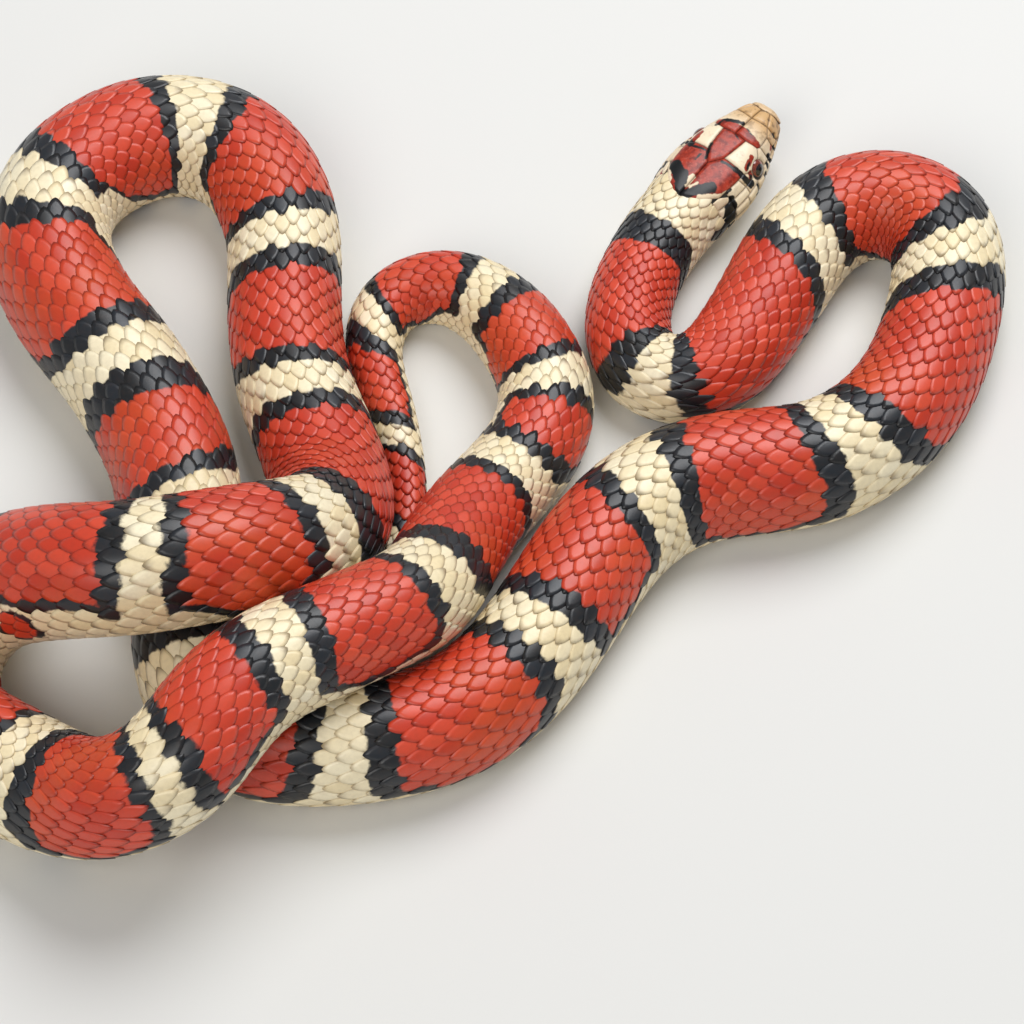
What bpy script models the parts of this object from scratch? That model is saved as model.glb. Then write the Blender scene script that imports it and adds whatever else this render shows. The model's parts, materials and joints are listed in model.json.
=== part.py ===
# Milk snake lying in loose coils, whole, at life size.
# It rests on flat belly lines at z = 0, with two of its coils lying over a third.
import math

import bmesh
import bpy
from mathutils import Matrix, Vector

MM = 0.001

# The plan of the belly line, from behind the head to the tip of the tail, in millimetres:
# x to the right, y away from the viewer, and how far the belly is lifted off the ground.
NECK_BEND = [
    (18.9, 38.6, 0), (16.9, 31.8, 0), (17.0, 25.8, 0), (19.2, 21.3, 0),
    (24.4, 19.4, 0), (29.3, 21.5, 0), (33.1, 26.1, 0), (36.5, 31.9, 0), (40.0, 38.6, 0),
]
RIGHT_LOOP = [
    (44.0, 44.6, 0), (48.6, 48.2, 0), (53.5, 49.4, 0), (58.4, 48.1, 0), (61.9, 44.4, 0),
    (63.1, 39.3, 0), (62.7, 33.6, 0), (61.2, 27.0, 0), (58.8, 20.2, 0), (55.2, 13.8, 0),
    (49.8, 8.0, 0), (43.0, 4.1, 0), (34.8, 2.4, 0),
]
FRONT_RUN = [
    (27.0, 1.0, 0), (19.3, -2.9, 0), (12.8, -9.9, 0), (8.0, -17.9, 0), (2.9, -26.5, 0),
    (-3.7, -34.3, 0), (-10.7, -38.8, 0), (-19.0, -41.1, 0), (-28.7, -41.7, 0),
]
UNDER_THE_CROSSINGS = [
    (-35.4, -40.2, 0), (-40.3, -36.0, 0), (-43.0, -29.4, 0), (-44.0, -21.0, 0),
    (-45.0, -12.0, 0), (-46.3, -3.9, 0),
]
BACK_LOOP = [
    (-48.0, 4.0, 0), (-51.4, 12.2, 0), (-56.1, 20.5, 0), (-61.6, 28.4, 0), (-65.7, 36.3, 0),
    (-67.3, 44.4, 0), (-65.0, 52.2, 0), (-59.4, 58.0, 0), (-52.4, 61.1, 0), (-45.4, 60.9, 0),
    (-39.3, 57.4, 0), (-35.2, 51.0, 0), (-33.2, 43.0, 0), (-32.8, 33.6, 0), (-32.2, 24.5, 0),
    (-30.4, 15.6, 0),
]
UPPER_CROSSING = [
    (-27.4, 7.0, 0), (-25.3, -1.6, 0.8), (-26.2, -10.0, 4.2), (-30.4, -16.2, 9.2),
    (-36.2, -20.3, 14.4), (-42.7, -22.8, 16.7), (-49.4, -24.0, 16.6), (-56.2, -23.2, 13.6),
    (-62.4, -21.4, 9.2), (-67.8, -20.4, 5.6),
]
LEFT_BEND = [
    (-73.3, -21.9, 2.4), (-77.5, -26.3, 0.6), (-79.0, -32.2, 0), (-77.6, -38.0, 0),
    (-73.4, -42.6, 0), (-67.8, -46.0, 0),
]
LOWER_CROSSING = [
    (-62.0, -49.6, 1.0), (-55.6, -52.8, 4.2), (-48.9, -53.9, 9.5), (-43.2, -51.5, 14.2),
    (-38.7, -46.0, 16.5), (-33.5, -40.2, 16.5), (-27.0, -35.3, 15.1), (-19.6, -30.2, 13.2),
    (-13.2, -24.2, 9.9), (-9.2, -15.6, 5.8), (-5.4, -6.2, 2.2), (-0.7, 1.6, 0.2),
]
TAIL_LOOP = [
    (3.4, 8.6, 0), (4.8, 16.6, 0), (2.6, 24.2, 0), (-1.4, 30.5, 0), (-6.5, 34.8, 0),
    (-12.4, 36.0, 0), (-17.4, 33.5, 0), (-19.7, 28.1, 0), (-19.2, 21.9, 0), (-17.3, 15.3, 0),
    (-15.8, 8.7, 0), (-14.8, 2.0, 0), (-15.2, -4.5, 0), (-17.9, -10.2, 0), (-22.4, -14.4, 0),
    (-27.3, -16.9, 0), (-31.8, -18.2, 0),
]
PLAN_CENTRE = (-8.35, 3.7)

# Widths of the body, each at its distance behind the snout.
GIRTH = [
    (22, 12.6), (32, 12.2), (54, 12.7), (66, 14.2), (80, 15.4), (105, 16.2), (150, 17.3), (170, 18.0),
    (190, 17.7), (235, 17.0), (290, 17.8), (370, 18.4), (405, 16.6), (425, 16.5), (455, 17.4),
    (500, 18.7), (550, 18.0), (590, 16.5), (630, 15.0), (665, 14.0), (684, 13.1), (695, 11.4),
    (705, 9.6), (716, 7.9), (732, 6.3), (750, 4.3), (758, 3.0), (764, 1.2),
]

# One half of the body's section, from the ridge of the back round to the edge of the belly flat,
# as shares of the width.
SECTION = [
    (0.0, 0.88), (0.15, 0.862), (0.29, 0.795), (0.405, 0.675), (0.478, 0.52), (0.5, 0.37),
    (0.475, 0.22), (0.40, 0.09), (0.28, 0.0),
]

# Where the body is parted, as distances behind the snout.
CUTS = [
    ("neck", 46), ("body_01", 78), ("body_02", 108), ("body_03", 142), ("body_04", 180),
    ("body_05", 222), ("body_06", 258), ("body_07", 302), ("body_08", 344), ("body_09", 384),
    ("body_10", 428), ("body_11", 462), ("body_12", 502), ("body_13", 546), ("body_14", 582),
    ("body_15", 618), ("body_16", 656), ("tail_base", 692), ("tail_middle", 728), ("tail_tip", 0),
]
GAP = 0.3
# Sections stand this far apart on straight runs, or at each such turn in a bend,
# and a short straight stub keeps the cut faces square.
STATION_STEP = 5.0
STATION_TURN = math.radians(18)
STUB = 0.6
ROUTE_STEP = 0.25

# The head, along its own axis: distance behind the snout, half width at the lips,
# height of the crown over the mouth line and depth of the chin under it.
HEAD_LENGTH = 22.0
HEAD_TIP = (37.9, 64.9, 8.4)
HEAD_PITCH = math.radians(6.5)
HEAD_AZIMUTH = math.radians(38)
HEAD_STATIONS = [
    (0.0, 1.2, 1.1, 0.7), (0.5, 2.3, 1.9, 1.2), (1.6, 3.2, 2.75, 1.75), (3.2, 3.95, 3.4, 2.2),
    (5.6, 4.9, 4.05, 2.6), (8.0, 5.8, 4.6, 3.0), (10.4, 6.5, 5.0, 3.35), (13.0, 7.0, 5.3, 3.8),
    (16.0, 7.1, 5.5, 4.4), (19.0, 6.75, 5.6, 4.9), (22.0, 6.3, 5.6, 5.2),
]
# The half outline of a head section: shares of the half width, then of the crown's height
# (positive) or the chin's depth (negative).
HEAD_SECTION = [
    (0.0, 1.0), (0.35, 0.985), (0.63, 0.86), (0.82, 0.54), (0.99, 0.12),
    (0.98, -0.22), (0.83, -0.68), (0.48, -0.97), (0.0, -1.0),
]
# The belly line is held straight for this far before and behind the back of the head.
NAPE = 2.5
EYE_RADIUS = 1.75
EYE_PLACE = (10.2, 4.3, 1.6)
EYE_FACETS = (18, 10)
NOSTRIL_PLACE = (3.3, 3.45, 1.3)
NOSTRIL_RADIUS = 0.42
NOSTRIL_FACETS = (10, 6)
# The mouth line runs back from the snout at these distances, dips between snout and corner,
# and is cut this wide and this high a little inside the lips.
MOUTH_CORNER = 17.0
MOUTH_STOPS = [MOUTH_CORNER, 14.5, 12, 9.5, 7, 4.6, 2.6, 1.3]
MOUTH_DIP = 0.45
MOUTH_INSET = 0.12
MOUTH_FRONT = (0.3, 1.1)
MOUTH_GROOVE = (0.9, 0.28)

SCARLET = (0.58, 0.055, 0.03)
CREAM = (0.74, 0.6, 0.38)
EYE_BLACK = (0.02, 0.012, 0.01)


def clear_scene():
    for old in list(bpy.data.objects):
        bpy.data.objects.remove(old, do_unlink=True)


def new_collection(name):
    collection = bpy.data.collections.new(name)
    bpy.context.scene.collection.children.link(collection)
    return collection


def finish(name, colour, roughness):
    material = bpy.data.materials.new(name)
    material.use_nodes = True
    shader = material.node_tree.nodes["Principled BSDF"]
    shader.inputs["Base Color"].default_value = (*colour, 1.0)
    shader.inputs["Roughness"].default_value = roughness
    shader.inputs["Metallic"].default_value = 0.0
    return material


def mesh_object(name, mesh, collection, material):
    thing = bpy.data.objects.new(name, mesh)
    mesh.materials.clear()
    mesh.materials.append(material)
    collection.objects.link(thing)
    return thing


class SmoothLine:
    """A natural cubic spline through points, followed by distance along its chords."""

    def __init__(self, points):
        self.points = [Vector(p) for p in points]
        self.knots = [0.0]
        for a, b in zip(self.points, self.points[1:]):
            self.knots.append(self.knots[-1] + (b - a).length)
        self.bends = self.solve_bends()

    def solve_bends(self):
        count = len(self.points)
        steps = [b - a for a, b in zip(self.knots, self.knots[1:])]
        zero = self.points[0] * 0.0
        upper = [0.0] * count
        right = [zero.copy() for _ in range(count)]
        for i in range(1, count - 1):
            slope_in = (self.points[i] - self.points[i - 1]) / steps[i - 1]
            slope_out = (self.points[i + 1] - self.points[i]) / steps[i]
            pivot = 2.0 * (steps[i - 1] + steps[i]) - steps[i - 1] * upper[i - 1]
            upper[i] = steps[i] / pivot
            right[i] = (6.0 * (slope_out - slope_in) - steps[i - 1] * right[i - 1]) / pivot
        bends = [zero.copy() for _ in range(count)]
        for i in range(count - 2, 0, -1):
            bends[i] = right[i] - upper[i] * bends[i + 1]
        return bends

    def at(self, knot):
        i = 0
        while i < len(self.knots) - 2 and knot > self.knots[i + 1]:
            i += 1
        step = self.knots[i + 1] - self.knots[i]
        after = knot - self.knots[i]
        before = self.knots[i + 1] - knot
        curve = (self.bends[i] * before ** 3 + self.bends[i + 1] * after ** 3) / (6.0 * step)
        start = (self.points[i] / step - self.bends[i] * step / 6.0) * before
        end = (self.points[i + 1] / step - self.bends[i + 1] * step / 6.0) * after
        return curve + start + end


def head_axes():
    forward = Vector((
        math.sin(HEAD_AZIMUTH) * math.cos(HEAD_PITCH),
        math.cos(HEAD_AZIMUTH) * math.cos(HEAD_PITCH),
        math.sin(HEAD_PITCH),
    ))
    right = Vector((math.cos(HEAD_AZIMUTH), -math.sin(HEAD_AZIMUTH), 0.0))
    return forward, right, right.cross(forward)


def head_matrix():
    """Head coordinates are (distance behind the snout, right, up) in millimetres."""
    forward, right, up = head_axes()
    matrix = Matrix((-forward, right, up)).transposed().to_4x4()
    tip = Vector(HEAD_TIP) - Vector((*PLAN_CENTRE, 0.0))
    return Matrix.Scale(MM, 4) @ Matrix.Translation(tip) @ matrix


def belly_route():
    """Evenly stepped belly points from the back of the head to the tail tip, with distances."""
    forward, _, up = head_axes()
    chin_depth = HEAD_STATIONS[-1][3]
    start = Vector(HEAD_TIP) - forward * HEAD_LENGTH - up * chin_depth
    throat = start + forward * NAPE
    nape = start - forward * NAPE
    plan = (NECK_BEND + RIGHT_LOOP + FRONT_RUN + UNDER_THE_CROSSINGS + BACK_LOOP
            + UPPER_CROSSING + LEFT_BEND + LOWER_CROSSING + TAIL_LOOP)
    centre = Vector((*PLAN_CENTRE, 0.0))
    line = SmoothLine([p - centre for p in [throat, start, nape] + [Vector(p) for p in plan]])
    first = line.knots[1]
    span = line.knots[-1] - first
    count = int(span / ROUTE_STEP)
    points = []
    distances = []
    for i in range(count + 1):
        point = line.at(first + span * i / count)
        point.z = max(0.0, point.z)
        distances.append(HEAD_LENGTH if not points else distances[-1] + (point - points[-1]).length)
        points.append(point)
    return points, distances


def girth_at(distance):
    for (a, width_a), (b, width_b) in zip(GIRTH, GIRTH[1:]):
        if distance <= b:
            share = max(0.0, (distance - a) / (b - a))
            return width_a + (width_b - width_a) * share
    return GIRTH[-1][1]


def heading(points, i):
    ahead = points[min(i + 2, len(points) - 1)]
    behind = points[max(i - 2, 0)]
    return (ahead - behind).normalized()


def stations(points, distances, start, end):
    """Belly points between two cuts, close together in the bends, square to the cuts at the ends."""
    inside = [i for i, d in enumerate(distances) if start < d < end]
    first = inside[0]
    last = inside[-1]
    picked = [first]
    for i in inside[1:]:
        run = distances[i] - distances[picked[-1]]
        turn = heading(points, picked[-1]).angle(heading(points, i))
        if run >= STATION_STEP or turn >= STATION_TURN:
            picked.append(i)
    if distances[last] - distances[picked[-1]] < STATION_STEP / 3 and len(picked) > 2:
        picked.pop()
    picked.append(last)
    path = [(points[i].copy(), distances[i]) for i in picked[1:-1]]
    lead_in = heading(points, first)
    lead_out = heading(points, last)
    path.insert(0, (points[first] + lead_in * STUB, start + STUB))
    path.insert(0, (points[first].copy(), start))
    path.append((points[last] - lead_out * STUB, end - STUB))
    path.append((points[last].copy(), end))
    return path


def section_outline(collection):
    """The loaf-shaped section as a flat closed curve, one millimetre wide."""
    half = SECTION + [(0.0, 0.0)]
    ring = half + [(-x, y) for x, y in reversed(half[1:-1])]
    curve = bpy.data.curves.new("body_section", "CURVE")
    curve.dimensions = "2D"
    spline = curve.splines.new("POLY")
    spline.points.add(len(ring) - 1)
    spline.use_cyclic_u = True
    for point, (x, y) in zip(spline.points, ring):
        point.co = (x * MM, y * MM, 0.0, 1.0)
    guide = bpy.data.objects.new("body_section", curve)
    guide.hide_render = True
    guide.display_type = "WIRE"
    collection.objects.link(guide)
    return guide


def sweep(name, path, section, collection):
    """A curve through (point in mm, radius) pairs, swept with a section and made a closed mesh."""
    curve = bpy.data.curves.new(name, "CURVE")
    curve.dimensions = "3D"
    curve.twist_mode = "Z_UP"
    curve.bevel_mode = "OBJECT"
    curve.bevel_object = section
    curve.use_fill_caps = True
    spline = curve.splines.new("POLY")
    spline.points.add(len(path) - 1)
    for point, (place, radius) in zip(spline.points, path):
        point.co = (*(place * MM), 1.0)
        point.radius = radius
    holder = bpy.data.objects.new(name + "_curve", curve)
    collection.objects.link(holder)
    bpy.context.view_layer.update()
    depsgraph = bpy.context.evaluated_depsgraph_get()
    mesh = bpy.data.meshes.new_from_object(holder.evaluated_get(depsgraph))
    mesh.transform(holder.matrix_world)
    bpy.data.objects.remove(holder, do_unlink=True)
    shell = bmesh.new()
    shell.from_mesh(mesh)
    bmesh.ops.remove_doubles(shell, verts=shell.verts, dist=1e-7)
    bmesh.ops.recalc_face_normals(shell, faces=shell.faces)
    shell.to_mesh(mesh)
    shell.free()
    mesh.name = name
    mesh.shade_smooth()
    return mesh


def make_body(collection, guides):
    points, distances = belly_route()
    section = section_outline(guides)
    start = HEAD_LENGTH + GAP
    for name, cut in CUTS:
        end = cut - GAP / 2 if cut else distances[-1]
        path = [(p, girth_at(d)) for p, d in stations(points, distances, start, end)]
        mesh = sweep(name, path, section, collection)
        mesh_object(name, mesh, collection, finish("skin_" + name, SCARLET, 0.35))
        start = cut + GAP / 2
    print("length along the belly", round(distances[-1], 1), "mm")


def head_ring(station):
    """One ring of the head's cage, as (behind, right, up)."""
    behind, half_width, crown, chin = station
    half = []
    for across, level in HEAD_SECTION:
        height = level * (crown if level > 0 else chin)
        half.append((behind, across * half_width, height))
    return half + [(b, -right, up) for b, right, up in reversed(half[1:-1])]


def head_cage():
    cage = bmesh.new()
    rings = [[cage.verts.new(co) for co in head_ring(s)] for s in HEAD_STATIONS]
    for near, far in zip(rings, rings[1:]):
        for i in range(len(near)):
            j = (i + 1) % len(near)
            cage.faces.new((near[i], near[j], far[j], far[i]))
    cage.faces.new(rings[0])
    back = cage.faces.new(rings[-1])
    crease = cage.edges.layers.float.new("crease_edge")
    for edge in back.edges:
        edge[crease] = 1.0
    bmesh.ops.recalc_face_normals(cage, faces=cage.faces)
    mesh = bpy.data.meshes.new("head")
    cage.to_mesh(mesh)
    cage.free()
    return mesh


def half_width_at(behind):
    for a, b in zip(HEAD_STATIONS, HEAD_STATIONS[1:]):
        if behind <= b[0]:
            share = (behind - a[0]) / (b[0] - a[0])
            return a[1] + (b[1] - a[1]) * share
    return HEAD_STATIONS[-1][1]


def mouth_line():
    """The lips' meeting line, from one corner of the mouth round the snout to the other."""
    side = []
    for behind in MOUTH_STOPS:
        dip = -MOUTH_DIP * math.sin(math.pi * behind / MOUTH_CORNER)
        side.append(Vector((behind, half_width_at(behind) - MOUTH_INSET, dip)))
    side.append(Vector((*MOUTH_FRONT, 0.0)))
    return side + [Vector((p.x, -p.y, p.z)) for p in reversed(side)]


def groove_section(collection):
    width, height = MOUTH_GROOVE
    curve = bpy.data.curves.new("groove_section", "CURVE")
    curve.dimensions = "2D"
    spline = curve.splines.new("POLY")
    spline.points.add(3)
    spline.use_cyclic_u = True
    corners = [(-width, -height), (width, -height), (width, height), (-width, height)]
    for point, (x, y) in zip(spline.points, corners):
        point.co = (x / 2 * MM, y / 2 * MM, 0.0, 1.0)
    guide = bpy.data.objects.new("groove_section", curve)
    guide.hide_render = True
    guide.display_type = "WIRE"
    collection.objects.link(guide)
    return guide


def add_cutter(name, mesh, guides, target):
    cutter = bpy.data.objects.new(name, mesh)
    cutter.hide_render = True
    cutter.display_type = "WIRE"
    guides.objects.link(cutter)
    cut = target.modifiers.new(name, "BOOLEAN")
    cut.operation = "DIFFERENCE"
    cut.solver = "EXACT"
    cut.object = cutter


def ball(name, place, radius, facets):
    """A ball in head coordinates, as a mesh."""
    segments, rings = facets
    shape = bmesh.new()
    bmesh.ops.create_uvsphere(shape, u_segments=segments, v_segments=rings, radius=radius)
    bmesh.ops.rotate(shape, verts=shape.verts, matrix=Matrix.Rotation(math.pi / 2, 3, "X"))
    bmesh.ops.translate(shape, verts=shape.verts, vec=Vector(place))
    mesh = bpy.data.meshes.new(name)
    shape.to_mesh(mesh)
    shape.free()
    mesh.shade_smooth()
    return mesh


def make_head(collection, guides):
    placed = head_matrix()
    head = mesh_object("head", head_cage(), collection, finish("skin_head", CREAM, 0.35))
    head.data.transform(placed)
    head.data.shade_smooth()
    smooth = head.modifiers.new("round_form", "SUBSURF")
    smooth.levels = 1
    smooth.render_levels = 1
    line = [(p / MM, 1.0) for p in (placed @ q for q in mouth_line())]
    groove = sweep("mouth_line", line, groove_section(guides), collection)
    add_cutter("mouth_line", groove, guides, head)
    for side, sign in (("right", 1), ("left", -1)):
        behind, across, up = EYE_PLACE
        place = (behind, across * sign, up)
        eye = mesh_object("eye_" + side, ball("eye", place, EYE_RADIUS, EYE_FACETS), collection,
                          finish("eye_" + side, EYE_BLACK, 0.08))
        eye.data.transform(placed)
        socket = ball("socket", place, EYE_RADIUS + GAP, EYE_FACETS)
        socket.transform(placed)
        add_cutter("socket_" + side, socket, guides, head)
        behind, across, up = NOSTRIL_PLACE
        nostril = ball("nostril", (behind, across * sign, up), NOSTRIL_RADIUS, NOSTRIL_FACETS)
        nostril.transform(placed)
        add_cutter("nostril_" + side, nostril, guides, head)


clear_scene()
snake = new_collection("milk_snake")
guides = new_collection("cutters_and_guides")
make_head(snake, guides)
make_body(snake, guides)
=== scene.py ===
# %% [markdown]
# # A milk snake at life size
#
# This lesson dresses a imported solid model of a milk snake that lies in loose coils. The solids give
# the place, the size and the thickness of every length of the body. The lesson adds what the eye
# looks for: one skin without seams, thousands of overlapping scales, the large plates of the head,
# wet dark eyes, and the rings of red, black and cream. Everything is measured in millimetres along
# and around the body, and turned into metres only when it is put in place.

import json
import math

import bmesh
import bpy
import numpy as np
from mathutils import Matrix, Vector

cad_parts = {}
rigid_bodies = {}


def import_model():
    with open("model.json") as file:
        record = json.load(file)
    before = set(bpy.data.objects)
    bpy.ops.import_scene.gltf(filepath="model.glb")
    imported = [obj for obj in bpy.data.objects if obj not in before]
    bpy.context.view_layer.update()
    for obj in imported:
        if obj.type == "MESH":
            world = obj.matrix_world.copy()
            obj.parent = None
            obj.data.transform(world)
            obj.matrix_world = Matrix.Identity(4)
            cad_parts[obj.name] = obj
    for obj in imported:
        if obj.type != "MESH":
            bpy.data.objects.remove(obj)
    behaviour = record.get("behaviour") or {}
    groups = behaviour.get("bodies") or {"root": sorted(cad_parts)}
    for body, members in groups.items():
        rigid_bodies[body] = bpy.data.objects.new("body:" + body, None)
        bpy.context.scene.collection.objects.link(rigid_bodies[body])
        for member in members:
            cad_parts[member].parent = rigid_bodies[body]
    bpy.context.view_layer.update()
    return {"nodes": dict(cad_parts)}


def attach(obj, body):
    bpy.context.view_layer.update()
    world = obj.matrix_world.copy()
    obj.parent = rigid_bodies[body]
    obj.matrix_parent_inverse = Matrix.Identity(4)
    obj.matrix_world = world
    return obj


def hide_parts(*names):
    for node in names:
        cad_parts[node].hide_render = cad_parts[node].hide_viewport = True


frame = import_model()
MM = 0.001
print("lengths of the body in the frame:", len(frame["nodes"]))

# %% [markdown]
# ## The line of the belly
#
# A snake is a long tube that was laid down along a path, so the path comes first. It is the same
# list of points that the solids follow: x to the right, y away from the viewer, and how far the belly
# is lifted. A smooth curve through them keeps the body from looking like bent wire.

# %% The route of the belly
NECK_BEND = [
    (18.9, 38.6, 0), (16.9, 31.8, 0), (17.0, 25.8, 0), (19.2, 21.3, 0),
    (24.4, 19.4, 0), (29.3, 21.5, 0), (33.1, 26.1, 0), (36.5, 31.9, 0), (40.0, 38.6, 0),
]
RIGHT_LOOP = [
    (44.0, 44.6, 0), (48.6, 48.2, 0), (53.5, 49.4, 0), (58.4, 48.1, 0), (61.9, 44.4, 0),
    (63.1, 39.3, 0), (62.7, 33.6, 0), (61.2, 27.0, 0), (58.8, 20.2, 0), (55.2, 13.8, 0),
    (49.8, 8.0, 0), (43.0, 4.1, 0), (34.8, 2.4, 0),
]
FRONT_RUN = [
    (27.0, 1.0, 0), (19.3, -2.9, 0), (12.8, -9.9, 0), (8.0, -17.9, 0), (2.9, -26.5, 0),
    (-3.7, -34.3, 0), (-10.7, -38.8, 0), (-19.0, -41.1, 0), (-28.7, -41.7, 0),
]
UNDER_THE_CROSSINGS = [
    (-35.4, -40.2, 0), (-40.3, -36.0, 0), (-43.0, -29.4, 0), (-44.0, -21.0, 0),
    (-45.0, -12.0, 0), (-46.3, -3.9, 0),
]
BACK_LOOP = [
    (-48.0, 4.0, 0), (-51.4, 12.2, 0), (-56.1, 20.5, 0), (-61.6, 28.4, 0), (-65.7, 36.3, 0),
    (-67.3, 44.4, 0), (-65.0, 52.2, 0), (-59.4, 58.0, 0), (-52.4, 61.1, 0), (-45.4, 60.9, 0),
    (-39.3, 57.4, 0), (-35.2, 51.0, 0), (-33.2, 43.0, 0), (-32.8, 33.6, 0), (-32.2, 24.5, 0),
    (-30.4, 15.6, 0),
]
UPPER_CROSSING = [
    (-27.4, 7.0, 0), (-25.3, -1.6, 0.8), (-26.2, -10.0, 4.2), (-30.4, -16.2, 9.2),
    (-36.2, -20.3, 14.4), (-42.7, -22.8, 16.7), (-49.4, -24.0, 16.6), (-56.2, -23.2, 13.6),
    (-62.4, -21.4, 9.2), (-67.8, -20.4, 5.6),
]
LEFT_BEND = [
    (-73.3, -21.9, 2.4), (-77.5, -26.3, 0.6), (-79.0, -32.2, 0), (-77.6, -38.0, 0),
    (-73.4, -42.6, 0), (-67.8, -46.0, 0),
]
LOWER_CROSSING = [
    (-62.0, -49.6, 1.0), (-55.6, -52.8, 4.2), (-48.9, -53.9, 9.5), (-43.2, -51.5, 14.2),
    (-38.7, -46.0, 16.5), (-33.5, -40.2, 16.5), (-27.0, -35.3, 15.1), (-19.6, -30.2, 13.2),
    (-13.2, -24.2, 9.9), (-9.2, -15.6, 5.8), (-5.4, -6.2, 2.2), (-0.7, 1.6, 0.2),
]
TAIL_LOOP = [
    (3.4, 8.6, 0), (4.8, 16.6, 0), (2.6, 24.2, 0), (-1.4, 30.5, 0), (-6.5, 34.8, 0),
    (-12.4, 36.0, 0), (-17.4, 33.5, 0), (-19.7, 28.1, 0), (-19.2, 21.9, 0), (-17.3, 15.3, 0),
    (-15.8, 8.7, 0), (-14.8, 2.0, 0), (-15.2, -4.5, 0), (-17.9, -10.2, 0), (-22.4, -14.4, 0),
    (-27.3, -16.9, 0), (-31.8, -18.2, 0),
]
PLAN_CENTRE = np.array([-8.35, 3.7, 0.0])
PLAN = (NECK_BEND + RIGHT_LOOP + FRONT_RUN + UNDER_THE_CROSSINGS + BACK_LOOP + UPPER_CROSSING
        + LEFT_BEND + LOWER_CROSSING + TAIL_LOOP)
print("points on the route:", len(PLAN))

# %% [markdown]
# ## Thickness and sections
#
# A snake's body is like a loaf: flat where it lies, steep at the sides and round on the back. The
# head has a section of its own, with a crown, lips and a chin. Both are half outlines, because the
# other half is the mirror image.

# %% Widths and sections
HEAD_LENGTH = 22.0
HEAD_TIP = np.array([37.9, 64.9, 8.4])
HEAD_PITCH = math.radians(6.5)
HEAD_AZIMUTH = math.radians(38)
NAPE = 2.5
THROAT_DEPTH = 5.2
GIRTH = [
    (22, 12.6), (32, 12.2), (54, 12.7), (66, 14.2), (80, 15.4), (105, 16.2), (150, 17.3), (170, 18.0),
    (190, 17.7), (235, 17.0), (290, 17.8), (370, 18.4), (405, 16.6), (425, 16.5), (455, 17.4),
    (500, 18.7), (550, 18.0), (590, 16.5), (630, 15.0), (665, 14.0), (684, 13.1), (695, 11.4),
    (705, 9.6), (716, 7.9), (732, 6.3), (750, 4.3), (758, 3.0), (764, 1.6), (768, 0.9),
]
BODY_SECTION = [
    (0.0, 0.88), (0.15, 0.862), (0.29, 0.795), (0.405, 0.675), (0.478, 0.52), (0.5, 0.37),
    (0.475, 0.22), (0.40, 0.09), (0.28, 0.0), (0.14, 0.0), (0.0, 0.0),
]
HEAD_SECTION = [
    (0.0, 1.0), (0.35, 0.985), (0.63, 0.86), (0.82, 0.54), (0.99, 0.12),
    (0.98, -0.22), (0.83, -0.68), (0.48, -0.97), (0.0, -1.0),
]
# Distance behind the snout, half width at the lips, height of the crown, depth of the chin.
HEAD_STATIONS = [
    (0.0, 0.0, 0.0, 0.0), (0.5, 2.25, 1.85, 0.95), (1.6, 3.2, 2.75, 1.65), (3.2, 3.95, 3.4, 2.2),
    (5.6, 4.9, 4.05, 2.6), (8.0, 5.8, 4.6, 3.0), (10.4, 6.5, 5.0, 3.35), (13.0, 7.0, 5.3, 3.8),
    (16.0, 7.1, 5.5, 4.4), (19.0, 6.75, 5.6, 4.9), (22.0, 6.3, 5.6, 5.2),
]
SKIN_DEPTH = 0.22
print("widest part of the body:", max(width for _, width in GIRTH), "mm")

# %% [markdown]
# ## A smooth curve through points
#
# A natural cubic spline passes through every point and bends as little as it can, like a thin strip
# of wood held by pins. The same helper draws the route, the sections and the profile of the head.

# %% The smooth curve
def smooth(knots, values, at):
    """Reads a natural cubic curve through the values at the knots, at other places."""
    knots = np.asarray(knots, float)
    values = np.asarray(values, float)
    at = np.asarray(at, float)
    steps = np.diff(knots)
    matrix = np.eye(len(knots))
    right = np.zeros_like(values)
    for i in range(1, len(knots) - 1):
        matrix[i, i - 1:i + 2] = steps[i - 1], 2 * (steps[i - 1] + steps[i]), steps[i]
        slope_in = (values[i] - values[i - 1]) / steps[i - 1]
        slope_out = (values[i + 1] - values[i]) / steps[i]
        right[i] = 6 * (slope_out - slope_in)
    bends = np.linalg.solve(matrix, right)
    i = np.clip(np.searchsorted(knots, at, side="right") - 1, 0, len(knots) - 2)
    width = (slice(None),) + (None,) * (values.ndim - 1)
    step = steps[i][width]
    after = (at - knots[i])[width]
    before = (knots[i + 1] - at)[width]
    curve = (bends[i] * before ** 3 + bends[i + 1] * after ** 3) / (6 * step)
    start = (values[i] / step - bends[i] * step / 6) * before
    end = (values[i + 1] / step - bends[i + 1] * step / 6) * after
    return curve + start + end


def chords(points):
    """Distance along the straight lines between points."""
    steps = np.linalg.norm(np.diff(points, axis=0), axis=1)
    return np.concatenate([[0.0], np.cumsum(steps)])


def ease(low, high, value):
    """Rises smoothly from 0 at low to 1 at high."""
    share = np.clip((np.asarray(value, float) - low) / (high - low), 0.0, 1.0)
    return share * share * (3 - 2 * share)


print("halfway up an ease:", float(ease(0, 1, 0.5)))

# %% [markdown]
# ## Stations along the body
#
# The head is straight, so its stations run back from the snout along its own axis, close together at
# the tip where it is most rounded. Behind it the stations follow the belly line to the tail. At each
# one there is a place, a direction towards the tail, a side and an up.

# %% Stations from snout to tail
forward = np.array([
    math.sin(HEAD_AZIMUTH) * math.cos(HEAD_PITCH),
    math.cos(HEAD_AZIMUTH) * math.cos(HEAD_PITCH),
    math.sin(HEAD_PITCH),
])
head_right = np.array([math.cos(HEAD_AZIMUTH), -math.sin(HEAD_AZIMUTH), 0.0])
head_up = np.cross(head_right, forward)
nape_start = HEAD_TIP - forward * HEAD_LENGTH - head_up * THROAT_DEPTH

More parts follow.
